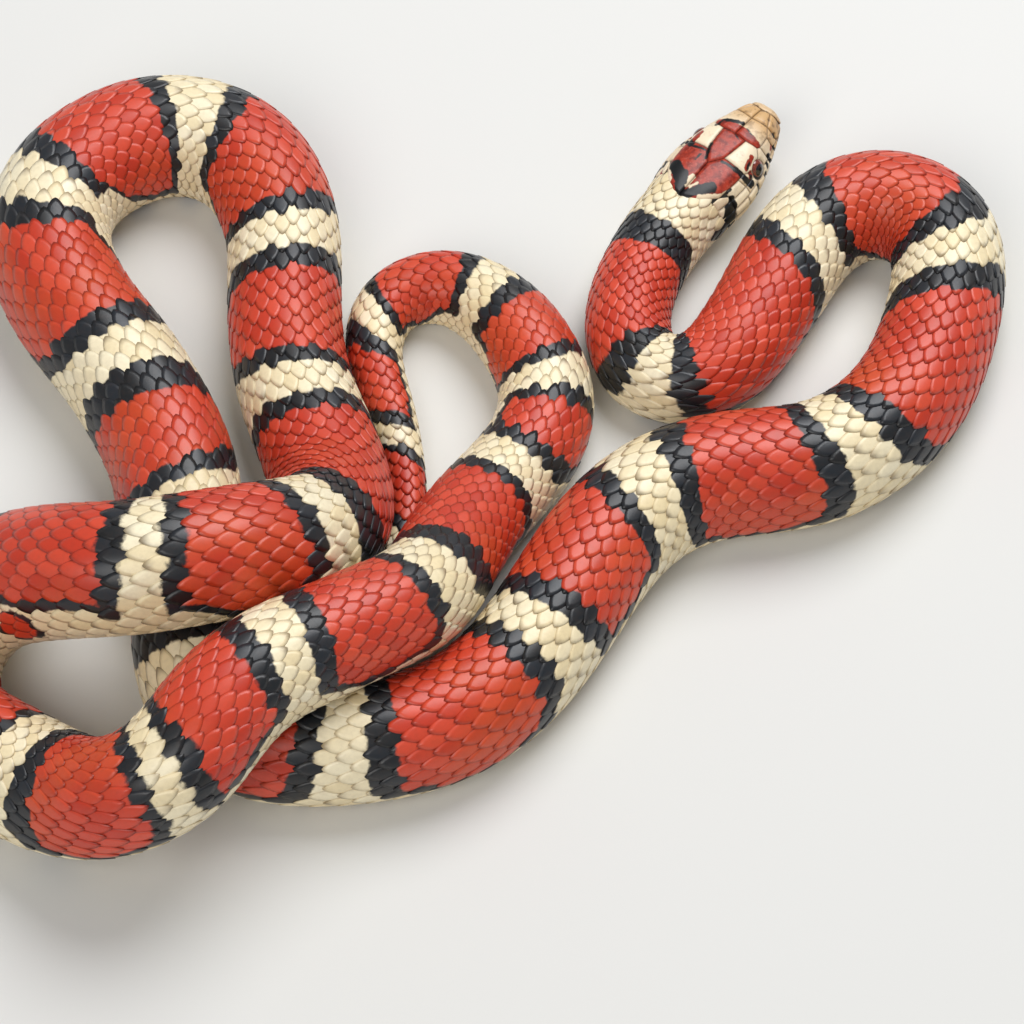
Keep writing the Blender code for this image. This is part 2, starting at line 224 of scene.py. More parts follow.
ROUTE_STEP = 0.25
STATION_GAP = 0.5
HEAD_ROWS = 96
route_points = np.array([nape_start + forward * NAPE, nape_start, nape_start - forward * NAPE]
                        + [np.array(p, float) for p in PLAN]) - PLAN_CENTRE
route_knots = chords(route_points)
fine = np.linspace(route_knots[1], route_knots[-1],
                   int((route_knots[-1] - route_knots[1]) / ROUTE_STEP) + 1)
belly = smooth(route_knots, route_points, fine)
belly[:, 2] = np.maximum(belly[:, 2], 0.0)
belly_distance = HEAD_LENGTH + chords(belly)
BODY_END = belly_distance[-1]

head_along = HEAD_LENGTH * np.linspace(0.0, 1.0, HEAD_ROWS, endpoint=False) ** 1.5
body_along = np.arange(HEAD_LENGTH, BODY_END, STATION_GAP)
along = np.concatenate([head_along, body_along, [BODY_END]])
place = np.stack([np.interp(along, belly_distance, belly[:, k]) for k in range(3)], axis=1)
in_head = along < HEAD_LENGTH
place[in_head] += np.outer(HEAD_LENGTH - along[in_head], forward)


def blur(values, count):
    """A running mean that keeps the ends where they are."""
    padded = np.pad(values, ((count, count), (0, 0)), mode="edge")
    kernel = np.ones(2 * count + 1) / (2 * count + 1)
    return np.stack([np.convolve(padded[:, k], kernel, "valid") for k in range(values.shape[1])], 1)


tailward = blur(np.gradient(place, along, axis=0), 3)
tailward /= np.linalg.norm(tailward, axis=1)[:, None]
sideways = np.cross(tailward, [0.0, 0.0, 1.0])
sideways /= np.linalg.norm(sideways, axis=1)[:, None]
upward = np.cross(sideways, tailward)
girth = np.interp(along, *zip(*GIRTH))
girth = blur(girth[:, None], 5)[:, 0]
print("length from snout to tail tip:", round(float(BODY_END), 1), "mm,", len(along), "stations")

# %% [markdown]
# ## A map of the body
#
# Skin and scales are easiest to make flat and then wrap round the body, as a label goes round a
# bottle. The map is a table of rings: for each station it holds points at even steps from the ridge
# of the back down to the middle of the belly. Reading between its entries turns a distance behind
# the snout and a distance round from the ridge into a place and an outward direction.

# %% The rings of the map
HALF_STEPS = 72


def mirrored(section):
    """Adds a mirror point before and after a half outline, so that its ends run level."""
    return np.array([(-section[1][0], section[1][1])] + section + [(-section[-2][0], section[-2][1])])


def dense_outline(section, count=241):
    """A half outline as many points on one smooth curve."""
    points = mirrored(section)
    knots = chords(points)
    return smooth(knots, points, np.linspace(knots[1], knots[-2], count))


body_outline = dense_outline(BODY_SECTION)
body_outline[:, 1] = np.maximum(body_outline[:, 1], 0.0)
head_outline = dense_outline(HEAD_SECTION)
station_root = np.sqrt([s[0] for s in HEAD_STATIONS])
head_sizes = smooth(station_root, [s[1:] for s in HEAD_STATIONS],
                    np.sqrt(np.minimum(along, HEAD_LENGTH)))
HEAD_BLEND = (19.0, 31.0)
becomes_body = ease(*HEAD_BLEND, along)


def ring(k):
    """Half of one ring, across and up in millimetres, at even steps, with its length."""
    half_width, crown, chin = head_sizes[k]
    if not in_head[k]:
        half_width = girth[k] / 2
    level = head_outline[:, 1]
    height = np.where(level > 0, level * crown, level * chin) + THROAT_DEPTH
    head = np.stack([head_outline[:, 0] * half_width, height], axis=1)
    shape = head * (1 - becomes_body[k]) + body_outline * girth[k] * becomes_body[k]
    run = chords(shape)
    even = np.linspace(0.0, run[-1], HALF_STEPS + 1)
    return np.stack([np.interp(even, run, shape[:, 0]), np.interp(even, run, shape[:, 1])], 1), run[-1]


half_rings = np.zeros((len(along), HALF_STEPS + 1, 2))
half_length = np.zeros(len(along))
for k in range(len(along)):
    half_rings[k], half_length[k] = ring(k)
rings = np.concatenate([half_rings[:, :0:-1] * (-1, 1), half_rings], axis=1)
surface = (place[:, None] + sideways[:, None] * rings[:, :, :1] + upward[:, None] * rings[:, :, 1:])
outward = np.cross(np.gradient(surface, axis=1), np.gradient(surface, axis=0))
away = surface - surface.mean(axis=1, keepdims=True)
outward *= np.sign(np.sum(outward * away, axis=2).sum())
outward /= np.maximum(np.linalg.norm(outward, axis=2, keepdims=True), 1e-9)
outward[0] = forward
outward[:, 0] = outward[:, -1] = (outward[:, 1] + outward[:, -2]) / 2
outward[-1] = tailward[-1]
skin_surface = surface - outward * SKIN_DEPTH
print("map of the body:", surface.shape[0], "rings of", surface.shape[1], "points")

# %% Reading the map
def read_map(table, distance, arc):
    """Reads a table of the map between its entries, at distances behind the snout and arcs
    from the ridge. Arcs past the middle of the belly come up on the other side."""
    row = np.interp(distance, along, np.arange(len(along)))
    length = np.interp(distance, along, half_length)
    share = (arc / np.maximum(length, 1e-6) + 1) % 2
    column = share * HALF_STEPS
    r = np.minimum(row.astype(int), len(along) - 2)
    c = np.minimum(column.astype(int), 2 * HALF_STEPS - 1)
    fr = (row - r)[:, None]
    fc = (column - c)[:, None]
    near = table[r, c] * (1 - fc) + table[r, c + 1] * fc
    far = table[r + 1, c] * (1 - fc) + table[r + 1, c + 1] * fc
    return near * (1 - fr) + far * fr


def wrap(distance, arc, height):
    """Places flat points on the body, at a height over the skin, in metres."""
    base = read_map(skin_surface, distance, arc)
    normal = read_map(outward, distance, arc)
    normal /= np.maximum(np.linalg.norm(normal, axis=1, keepdims=True), 1e-9)
    return (base + normal * np.asarray(height)[:, None]) * MM


print("a point on the back, in metres:", wrap(np.array([200.0]), np.array([0.0]), np.array([0.0])))

# %% [markdown]
# ## The rings and saddles
#
# The markings are worked out from the place on the body, so that the skin and the scales over it
# always agree. Each cream ring has a black border before and behind it. The list gives, for each
# ring, where the cream starts and ends behind the snout, the width of the black before and behind
# it, and how far the ring leans: most rings run a little forward on one side and back on the other.

# %% Where the rings are
# Start and end of the cream, black before, black behind, lean. All in millimetres.
RINGS = [
    (15.0, 27.0, 0.0, 5.0, 0.0), (51.5, 55.3, 3.0, 3.0, 0.8), (82.8, 89.0, 3.2, 4.2, -4.8),
    (116.2, 123.0, 4.8, 4.6, 6.0), (153.2, 159.0, 4.0, 3.6, 3.2), (182.0, 189.2, 4.0, 3.2, -3.6),
    (211.0, 216.8, 3.8, 3.4, 0.0), (241.2, 246.8, 3.8, 3.4, -1.6), (264.2, 269.9, 4.0, 4.4, -0.8),
    (288.2, 295.7, 3.6, 3.2, 6.0), (316.4, 323.3, 5.2, 4.0, -1.6), (348.5, 355.1, 3.6, 3.6, -3.6),
    (376.8, 384.0, 2.6, 3.2, 4.4), (404.9, 410.9, 3.0, 3.6, 2.4), (431.3, 436.9, 2.8, 3.0, -2.4),
    (470.3, 475.5, 6.4, 2.0, 2.4), (487.9, 490.7, 1.6, 1.6, -1.6), (509.4, 515.7, 2.8, 3.6, 0.0),
    (551.1, 561.9, 2.2, 6.0, -6.0), (582.3, 584.5, 1.4, 1.6, -2.8), (596.9, 601.9, 2.6, 3.4, -2.4),
    (619.7, 625.3, 2.2, 4.2, 1.6), (649.3, 656.7, 2.8, 3.2, 0.0), (668.2, 673.1, 2.0, 2.0, 2.8),
    (687.7, 692.5, 3.0, 2.4, 1.6), (709.3, 713.9, 2.0, 3.2, -5.6), (728.8, 732.2, 2.4, 1.8, -2.8),
    (746.4, 750.4, 2.4, 2.4, -2.4), (761.0, 764.0, 2.0, 6.0, 0.0),
]
print("rings:", len(RINGS))

# %% [markdown]
# ## The low edges of the saddles
#
# Low on the sides the cream spreads, the black thins, and a black line closes the red saddle above
# the pale belly. On some saddles that line climbs high up the side, on others it stays out of sight
# near the ground, so its height is a list of its own for each side. Three smaller marks finish the
# pattern: dark checks on the belly plates, one red spot low on the right side, and a dark spot on
# each side of the neck behind the jaw, which is partly a real black mark and partly painted shade of
# the gap under the head.

# %% Where the saddles end
# Distance behind the snout, and share of the girth from the ridge of the back.
LOW_LEFT = [
    (83, 0.92), (90, 0.74), (96, 0.80), (103, 0.95), (332, 0.92), (338, 0.62), (343, 0.46), (358, 0.50),
    (364, 0.74), (372, 0.90), (380, 0.92), (386, 0.64), (392, 0.76), (398, 0.92), (583, 0.92),
    (588, 0.76), (597, 0.74), (606, 0.82), (616, 0.86), (624, 0.92),
]
LOW_RIGHT = [
    (188, 0.92), (193, 0.72), (203, 0.74), (210, 0.92), (480, 0.92), (486, 0.76), (492, 0.72),
    (497, 0.54), (509, 0.52), (514, 0.78), (520, 0.92), (654, 0.90), (660, 0.44), (668, 0.52),
    (674, 0.88), (681, 0.68), (690, 0.62), (697, 0.68), (704, 0.88), (710, 0.70), (716, 0.44),
    (728, 0.44), (736, 0.70), (744, 0.90),
]
# Beside a ring the edge sits higher by this share, which fades out over this distance.
EDGE_AT_RING = 0.1
EDGE_FADE = 6.0
SADDLE_BORDER = 0.085
# The red spot: distance and share of the girth, negative on the right, its size and its black rim.
LOW_SPOT = (503.5, -0.78)
LOW_SPOT_SIZE = 2.6
LOW_SPOT_RIM = 0.6
# The dark spot behind the jaw, partly a real black mark and partly painted shade of the gap under the
# head: distance and share of the way from ridge to belly, on both sides.
JAW_SPOT = (20.4, 0.535)
JAW_SPOT_SIZE = 1.7
# The checks: how far apart, half their length as a share of that, their place and half their
# width as shares of the girth.
CHECK_STEP = 13.0
CHECK_LENGTH = 0.21
CHECK_PLACE = 1.27
CHECK_WIDTH = 0.11
print("points on the low edges:", len(LOW_LEFT), "left,", len(LOW_RIGHT), "right")

# %% [markdown]
# ## Colours as depths
#
# Depths are kept instead of plain colours: how far inside the nearest cream a place lies, and how
# far inside the nearest ring. A depth can be read between two points of a mesh and still cut to a
# sharp edge in the finish, while a painted colour would blur from point to point.

# %% How deep each place lies in the markings
CREAM_FLARE = 0.9
BLACK_THINNING = 0.3
FAR_OUTSIDE = -9.0
DEEPEST = 3.0


def limited(in_cream, in_ring):
    """Keeps both depths within the range that the finish needs."""
    return np.clip(in_cream, -DEEPEST, DEEPEST), np.clip(in_ring, -DEEPEST, DEEPEST)


def markings(distance, arc):
    """How deep in the cream and how deep in the rings each place lies, in millimetres. Red is
    outside the rings, and black is in the rings but outside the cream."""
    distance = np.asarray(distance, float)
    width = np.interp(distance, along, girth)
    share = np.abs(arc) / width
    flare = 1 + CREAM_FLARE * ease(0.5, 1.0, share)
    thin = 1 - BLACK_THINNING * ease(0.55, 1.0, share)
    in_cream = np.full(len(distance), FAR_OUTSIDE)
    in_ring = np.full(len(distance), FAR_OUTSIDE)
    for start, end, before, after, lean in RINGS:
        off = distance - (start + end) / 2 - lean * arc / width
        inside = (end - start) / 2 * flare - np.abs(off)
        border = np.where(off < 0, before, after) * thin
        in_cream = np.maximum(in_cream, inside)
        in_ring = np.maximum(in_ring, inside + border)
    left_edge = np.interp(distance, *zip(*LOW_LEFT))
    right_edge = np.interp(distance, *zip(*LOW_RIGHT))
    edge = np.where(arc > 0, left_edge, right_edge)
    edge = edge - EDGE_AT_RING * (1 - ease(0.0, EDGE_FADE, -in_ring))
    below = (share - edge) * width
    in_ring = np.maximum(in_ring, below)
    in_cream = np.maximum(in_cream, below - SADDLE_BORDER * width)
    step = (distance + np.sign(arc) * CHECK_STEP / 4) % CHECK_STEP - CHECK_STEP / 2
    check = np.minimum(CHECK_STEP * CHECK_LENGTH - np.abs(step),
                       width * (CHECK_WIDTH - np.abs(share - CHECK_PLACE)))
    spot = LOW_SPOT_SIZE - np.hypot(distance - LOW_SPOT[0], arc - LOW_SPOT[1] * width)
    in_ring = np.minimum(in_ring, -spot)
    in_cream = np.minimum(in_cream, -np.maximum(check, spot + LOW_SPOT_RIM))
    # The dark spot behind the jaw: partly a real black mark, partly painted shade of the gap under the
    # head.
    jaw_arc = JAW_SPOT[1] * np.interp(distance, along, half_length)
    to_jaw_spot = np.hypot(distance - JAW_SPOT[0], np.abs(arc) - jaw_arc)
    in_cream = np.minimum(in_cream, to_jaw_spot - JAW_SPOT_SIZE)
    return limited(in_cream, in_ring)


ridge = np.arange(BODY_END)
print("share of red along the ridge:", round(float(np.mean(markings(ridge, 0 * ridge)[1] < 0)), 2))

# %% [markdown]
# ## Arithmetic on material nodes
#
# A finish is a graph of small nodes. Long lists of nodes and links are hard to read, so one class
# wraps a socket and lets plain arithmetic add the Math nodes. Another holds the material while it is
# being made and has one method that adds any other node.

# %% A small language for materials
class Wire:
    """A number or colour on its way through a material, open to plain arithmetic."""

    def __init__(self, finish, socket):
        self.finish = finish
        self.socket = socket

    def maths(self, operation, *values):
        return self.finish.node("ShaderNodeMath", dict(enumerate(values)), operation=operation)

    def __add__(self, other):
        return self.maths("ADD", self, other)

    def __radd__(self, other):
        return self.maths("ADD", other, self)

    def __sub__(self, other):
        return self.maths("SUBTRACT", self, other)

    def __rsub__(self, other):
        return self.maths("SUBTRACT", other, self)

    def __mul__(self, other):
        return self.maths("MULTIPLY", self, other)

    def __rmul__(self, other):
        return self.maths("MULTIPLY", other, self)

    def __pow__(self, other):
        return self.maths("POWER", self, other)

    def rise(self, low, high):
        """Smoothly from 0 where the value is low to 1 where it is high."""
        return self.finish.node("ShaderNodeMapRange", {0: self, 1: low, 2: high},
                                interpolation_type="SMOOTHSTEP")


class Finish:
    """A material under construction, with the constants of its shader."""

    def __init__(self, name, **constants):
        self.material = bpy.data.materials.new(name)
        self.material.use_nodes = True
        self.tree = self.material.node_tree
        self.shader = self.tree.nodes["Principled BSDF"]
        for socket, value in constants.items():
            self.shader.inputs[socket.replace("_", " ")].default_value = value

    def node(self, kind, inputs, output=0, stops=(), **settings):
        node = self.tree.nodes.new(kind)
        for name, value in settings.items():
            setattr(node, name, value)
        for place, colour in stops:
            node.color_ramp.elements.new(place).color = colour
        for name, value in inputs.items():
            self.feed(node.inputs[name], value)
        return Wire(self, node.outputs[output])

    def feed(self, socket, value):
        if isinstance(value, Wire):
            self.tree.links.new(value.socket, socket)
        else:
            socket.default_value = value

    def blend(self, share, one, other, how="MIX"):
        """One colour where the share is 0, the other where it is 1."""
        return self.node("ShaderNodeMix", {0: share, 6: one, 7: other}, output=2,
                         data_type="RGBA", blend_type=how)

    def noise(self, where, scale, detail=3.0, roughness=0.55):
        return self.node("ShaderNodeTexNoise", {
            "Vector": where, "Scale": scale, "Detail": detail, "Roughness": roughness})

    def attribute(self, name, output="Color"):
        return self.node("ShaderNodeAttribute", {}, output=output, attribute_name=name)

    def parts(self, colour):
        """The three numbers of a colour or of a place."""
        return [self.node("ShaderNodeSeparateXYZ", {0: colour}, output=k) for k in range(3)]

    def show(self, **sockets):
        for name, value in sockets.items():
            self.feed(self.shader.inputs[name.replace("_", " ")], value)
        return self.material


def srgb(red, green, blue):
    """A screen colour, each part up to 255, as the linear colour that a shader takes."""
    linear = [v / 3294.6 if v < 10.3 else ((v / 255 + 0.055) / 1.055) ** 2.4
              for v in (red, green, blue)]
    return (*linear, 1.0)


print("a mid grey in linear light:", round(srgb(128, 128, 128)[0], 3))

# %% [markdown]
# ## The finish of skin and scales
#
# A living scale is a thin smooth plate of horn over pigment. The pigment is red, black or cream, and
# it changes from scale to scale, and pale scales often carry a brown tip. The rim of each scale is
# darkened as painted shade in the creases where the scales meet. The horn gives a soft gloss, so the
# surface is fairly smooth with a thin clear coat. The markings come from an attribute of each piece,
# and the place on the scale from another, so the same finish serves the skin, the scales and the belly.

# %% The finish of the body
RED = srgb(212, 56, 26)
RED_DEEP = srgb(156, 34, 16)
RED_PALE = srgb(228, 98, 70)
ORANGE = srgb(206, 84, 30)
BLACK = srgb(14, 16, 18)
BLACK_PALE = srgb(36, 42, 50)
CREAM = srgb(250, 238, 206)
CREAM_WARM = srgb(232, 206, 150)
BROWN = srgb(84, 56, 40)


def body_finish(name, rim_shade_strength, relief_depth):
    finish = Finish(name, Coat_Weight=0.4, Coat_Roughness=0.32, Specular_IOR_Level=0.35)
    where = finish.node("ShaderNodeTexCoord", {}, output="Object")
    in_cream, in_ring, tone = finish.parts(finish.attribute("markings"))
    across, lengthwise, speck = finish.parts(finish.attribute("scale_place", "Vector"))
    broad = finish.noise(where, 60.0)
    ragged = (finish.noise(where, 900.0) - 0.5) * 0.6
    fine_grain = finish.noise(where, 2600.0, 4.0, 0.6)
    reach = (across * across + lengthwise * lengthwise) ** 0.5
    # rim: how near the edge of its scale a place lies; it carries painted shade where the scales
    # overlap.
    rim = reach.rise(0.74, 1.0)
    tip = lengthwise.rise(0.35, 0.95)

    red = finish.blend(tone, RED_DEEP, RED_PALE)
    red = finish.blend(0.6, red, RED)
    red = finish.blend(broad.rise(0.45, 0.75) * 0.5, red, ORANGE)
    red = finish.blend(rim * 0.45, red, RED_DEEP)
    black = finish.blend(tone * 0.7, BLACK, BLACK_PALE)
    cream = finish.blend(tone * 0.55, CREAM, CREAM_WARM)
    cream = finish.blend(broad.rise(0.4, 0.7) * 0.35, cream, CREAM_WARM)
    cream = finish.blend(tip * speck * 0.7, cream, BROWN)
    cream = finish.blend(rim * 0.3, cream, CREAM_WARM)
    ring = finish.blend((in_cream + ragged).rise(-0.12, 0.12), black, cream)
    colour = finish.blend((in_ring + ragged).rise(-0.12, 0.12), red, ring)
    # Painted shade: the rim of every scale is darkened, as shade in the creases between scales.
    colour = finish.blend(rim * rim_shade_strength, colour, BROWN, "MULTIPLY")
    grain = finish.noise(where, 1400.0)
    colour = finish.blend(grain.rise(0.35, 0.75) * 0.10, colour, BROWN)
    relief = finish.node("ShaderNodeBump", {
        "Strength": 0.35, "Distance": relief_depth, "Height": fine_grain})
    return finish.show(Base_Color=colour, Roughness=0.36 + fine_grain * 0.16, Normal=relief)


scale_finish = body_finish("scale_horn", 0.35, 0.00003)
skin_finish = body_finish("bare_skin", 0.0, 0.00006)
print("finishes made:", scale_finish.name, skin_finish.name)

# %% [markdown]
# ## The finish of the head
#
# The shields of the head are thicker, smoother horn, mottled instead of plain: deep red with paler
# freckles, and cream that turns tan towards the snout. The seams between shields are darkened as
# painted shade. The recipe is the same as on the body, two depths that choose between three colours,
# so the head and the neck agree where they meet.

# %% The finish of the head
HEAD_RED = srgb(172, 54, 32)
HEAD_RED_DEEP = srgb(120, 28, 14)
HEAD_PINK = srgb(200, 106, 88)
HEAD_CREAM = srgb(244, 228, 198)
TAN = srgb(206, 160, 100)
head = Finish("head_horn", Coat_Weight=0.22, Coat_Roughness=0.25, Specular_IOR_Level=0.3)
head_where = head.node("ShaderNodeTexCoord", {}, output="Object")
head_cream, head_ring, head_tone = head.parts(head.attribute("markings"))
seam, _, from_snout = head.parts(head.attribute("scale_place", "Vector"))
blotches = head.noise(head_where, 900.0, 4.0)
freckles = head.noise(head_where, 2200.0)
edge_noise = (head.noise(head_where, 1500.0) - 0.5) * 0.5
snout = 1 - from_snout.rise(0.16, 0.36)
red_horn = head.blend(blotches.rise(0.40, 0.66), HEAD_RED, HEAD_RED_DEEP)
red_horn = head.blend(freckles.rise(0.5, 0.75) * 0.5, red_horn, HEAD_PINK)
pale_horn = head.blend(head_tone * 0.35 + snout * 0.6, HEAD_CREAM, TAN)
pale_horn = head.blend(blotches.rise(0.52, 0.66) * (0.12 + snout * 0.45), pale_horn, BROWN)
pale_horn = head.blend(freckles.rise(0.58, 0.74) * 0.22, pale_horn, HEAD_RED)
ring_horn = head.blend((head_cream + edge_noise).rise(-0.10, 0.10), BLACK, pale_horn)
head_colour = head.blend((head_ring + edge_noise).rise(-0.10, 0.10), red_horn, ring_horn)
# Painted shade: each shield darkens towards its seam.
head_colour = head.blend(seam.rise(0.55, 1.0) * 0.55, head_colour, BROWN, "MULTIPLY")
head_relief = head.node("ShaderNodeBump", {"Strength": 0.35, "Distance": 0.00003, "Height": freckles})
head_finish = head.show(Base_Color=head_colour, Roughness=0.33 + freckles * 0.14, Normal=head_relief)
print("nodes in the finish of the head:", len(head.tree.nodes))

# %% [markdown]
# ## Pieces and their maps
#
# Every piece ends its life the same way: it joins the root body, names its material slot, and gets
# a baking map. On that map each scale keeps its own cell, at the place where it grows, so nothing
# overlaps when the finish is baked to a picture.

# %% Finishing a piece
def piece(name, mesh, finish):
    """Puts a mesh in the scene as one piece of the animal."""
    mesh.name = name
    mesh.materials.clear()
    mesh.materials.append(finish)
    mesh.polygons.foreach_set("use_smooth", [True] * len(mesh.polygons))
    part = bpy.data.objects.new(name, mesh)
    bpy.context.scene.collection.objects.link(part)
    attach(part, "root")
    mesh.calc_loop_triangles()
    print(name, "has", len(mesh.loop_triangles), "triangles")
    return part


def give(mesh, name, kind, values):
    """Stores one row of numbers for each point of a mesh."""
    layer = mesh.attributes.new(name, kind, "POINT")
    layer.data.foreach_set("color" if kind == "FLOAT_COLOR" else "vector",
                           np.ascontiguousarray(values, np.float32).ravel())


def bake_map(mesh, point_uv):
    """Gives the mesh its baking map from one flat place for each point."""
    corner = np.zeros(len(mesh.loops), np.int32)
    mesh.loops.foreach_get("vertex_index", corner)
    layer = mesh.uv_layers.new(name="OFBake")
    layer.data.foreach_set("uv", np.ascontiguousarray(point_uv[corner], np.float32).ravel())


def points_of(mesh):
    flat = np.zeros(len(mesh.vertices) * 3, np.float32)
    mesh.vertices.foreach_get("co", flat)
    return flat.reshape(-1, 3).astype(float)


# %% [markdown]
# ## One skin
#
# Under its scales a snake wears one seamless skin. It could be joined from the solids, but their
# ends would show as rings. A flat grid wrapped round the map is simpler: its two long edges meet
# under the belly and its short edges close at the snout and the tail. It lies a fraction of a
# millimetre inside the solids, because the scales bring the surface back out.

# %% Wrapping the skin
SKIN_AROUND = 160
SKIN_ROWS = 470
# This share of the rows lies over the head and the nape, closest together at the snout.
HEAD_SHARE = 0.24
TAIL_TIP_HEIGHT = 0.4
SKIN_CLEARANCE = 0.00005

flat = bmesh.new()
bmesh.ops.create_grid(flat, x_segments=SKIN_ROWS, y_segments=SKIN_AROUND, size=1.0)
skin_mesh = bpy.data.meshes.new("skin")
flat.to_mesh(skin_mesh)
flat.free()
grid = points_of(skin_mesh)
run = (grid[:, 0] + 1) / 2
skin_along = np.where(run < HEAD_SHARE, HEAD_BLEND[1] * (run / HEAD_SHARE) ** 1.5,
                      HEAD_BLEND[1] + (BODY_END - HEAD_BLEND[1]) * (run - HEAD_SHARE) / (1 - HEAD_SHARE))
skin_arc = grid[:, 1] * np.interp(skin_along, along, half_length)
wrapped = wrap(skin_along, skin_arc * 0.999999, np.zeros(len(grid)))
wrapped[run > 0.99999] = (place[-1] + upward[-1] * TAIL_TIP_HEIGHT * girth[-1]) * MM
wrapped[:, 2] = np.maximum(wrapped[:, 2], SKIN_CLEARANCE)
skin_mesh.vertices.foreach_set("co", wrapped.ravel())
print("points in the skin:", len(wrapped))

# %% [markdown]
# The skin gets the same markings as the scales over it, apart from the head, where it only shows in
# the seams between shields and is painted black, as painted shade in the seams. Then the long edges
# are merged into one, the folded faces at the snout are removed, and all faces are turned outwards.

# %% Marking and closing the skin
# Painted shade: the skin under the shields is black, so that the seams between them read dark.
SEAM_SHADE_MARKS = np.array([[-0.6], [3.0]])
SKIN_TONE = 0.2
skin_marks = np.array(markings(skin_along, skin_arc))
under_shields = skin_along < HEAD_LENGTH - 1.0
skin_marks[:, under_shields] = SEAM_SHADE_MARKS
give(skin_mesh, "markings", "FLOAT_COLOR",
     np.stack([*skin_marks, np.full(len(grid), SKIN_TONE), np.ones(len(grid))], 1))
give(skin_mesh, "scale_place", "FLOAT_VECTOR", np.zeros((len(grid), 3)))
bake_map(skin_mesh, np.stack([0.01 + 0.98 * run, 0.01 + 0.49 * (grid[:, 1] + 1)], 1))
shell = bmesh.new()
shell.from_mesh(skin_mesh)
bmesh.ops.remove_doubles(shell, verts=shell.verts, dist=1e-7)
bmesh.ops.dissolve_degenerate(shell, edges=shell.edges, dist=1e-8)
bmesh.ops.recalc_face_normals(shell, faces=shell.faces)
print("open edges of the skin:", sum(edge.is_boundary for edge in shell.edges))
shell.to_mesh(skin_mesh)
shell.free()
skin = piece("skin", skin_mesh, skin_finish)
flesh = [name for name in frame["nodes"] if not name.startswith("eye")]
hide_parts(*flesh)

# %% [markdown]
# ## One scale
#
# The scales of the back are smooth lozenges that overlap like roof tiles, each with its front edge
# under its neighbours and its tip free. One scale is made once, from a small grid turned on its
# point, closed with a thin wall and a floor, and rounded at the corners. A closed tile costs more
# faces than a bare sheet, but it is solid, as a real scale is.

# %% The template of a scale
SCALE_GRID = 5
CORNER_POWER = 1.45


def closed_tile(name, columns, rows, half_side, turn=0.0):
    """A flat grid with a wall one unit deep all round it and a floor."""
    tile = bmesh.new()
    bmesh.ops.create_grid(tile, x_segments=columns, y_segments=rows, size=half_side)
    if turn:
        bmesh.ops.rotate(tile, verts=tile.verts, matrix=Matrix.Rotation(turn, 3, "Z"))
    rim = [edge for edge in tile.edges if edge.is_boundary]
    wall = bmesh.ops.extrude_edge_only(tile, edges=rim)["geom"]
    foot = [item for item in wall if isinstance(item, bmesh.types.BMVert)]
    bmesh.ops.translate(tile, verts=foot, vec=(0, 0, -1))
    bmesh.ops.holes_fill(tile, edges=[edge for edge in tile.edges if edge.is_boundary], sides=0)
    bmesh.ops.recalc_face_normals(tile, faces=tile.faces)
    mesh = bpy.data.meshes.new(name)
    tile.to_mesh(mesh)
    tile.free()
    return mesh


def rounded(shape, power):
    """Rounds a square that stands on its point: the outline |x|^p + |y|^p = 1."""
    reach = np.abs(shape[:, 0]) + np.abs(shape[:, 1])
    size = (np.abs(shape[:, 0]) ** power + np.abs(shape[:, 1]) ** power) ** (1 / power)
    return shape * (reach / np.maximum(size, 1e-9))[:, None]


one_scale = closed_tile("one_scale", SCALE_GRID, SCALE_GRID, math.sqrt(0.5), math.pi / 4)
one_scale.calc_loop_triangles()
print("one scale has", len(one_scale.loop_triangles), "triangles")
scale_points = points_of(one_scale)
scale_points[:, :2] = rounded(scale_points[:, :2], CORNER_POWER)

# %% [markdown]
# ## Rows of scales
#
# This kind of snake has twenty-one rows of scales across its back, and each next row is shifted by
# half a scale. The rows narrow at the neck and the tail, and the lowest rows are the widest. The
# places are counted along the middle of the body, so scales crowd on the inside of a bend and
# spread on the outside, as they do on the animal.

# %% Where each scale grows
# How far each row lies from the ridge, and where the belly plates begin, in widths of a row.
ROW_PLACES = np.array([0, 1, 2, 3, 4, 5, 6, 7, 8.05, 9.2, 10.45])
BELLY_EDGE = 11.05
# Distance from scale to scale along the body, at places behind the snout.
PITCH = [
    (18, 2.1), (22, 2.2), (40, 2.4), (80, 2.9), (150, 3.2), (300, 3.3), (450, 3.2), (485, 2.9),
    (515, 2.9), (560, 3.3), (592, 2.9), (625, 2.85), (655, 2.85), (690, 2.6), (730, 2.2), (768, 1.6),
]
# Width of a row as a share of the girth, and on the tail, where rows drop out, in millimetres.
ROW_SHARE = 0.0955
TAIL_ROWS = [(655, 1.37), (684, 1.42), (705, 1.5), (732, 1.4), (750, 1.2), (764, 0.7)]
OUTER_ROW = 10
SCALES_FROM = 19.0
TAIL_BARE = 2.5
AXIS_HEIGHT = 0.44
# The scales begin behind the shields: furthest back on the ridge, and further forward below.
HAIRLINE = 22.0
HAIRLINE_SIDE = 2.5
HAIRLINE_BELLY = 2.0
COAT_EDGE = 1.03

axis = place + upward * (girth * AXIS_HEIGHT)[:, None]
axis_run = chords(axis)
pitch = np.interp(along, *zip(*PITCH))
count = np.concatenate([[0], np.cumsum(np.diff(axis_run) / ((pitch[1:] + pitch[:-1]) / 2))])
count -= np.interp(SCALES_FROM, along, count)
row_width = np.where(along < TAIL_ROWS[0][0], ROW_SHARE * girth, np.interp(along, *zip(*TAIL_ROWS)))
last_count = int(np.interp(BODY_END - TAIL_BARE, along, count))
seeds = np.random.default_rng(7)


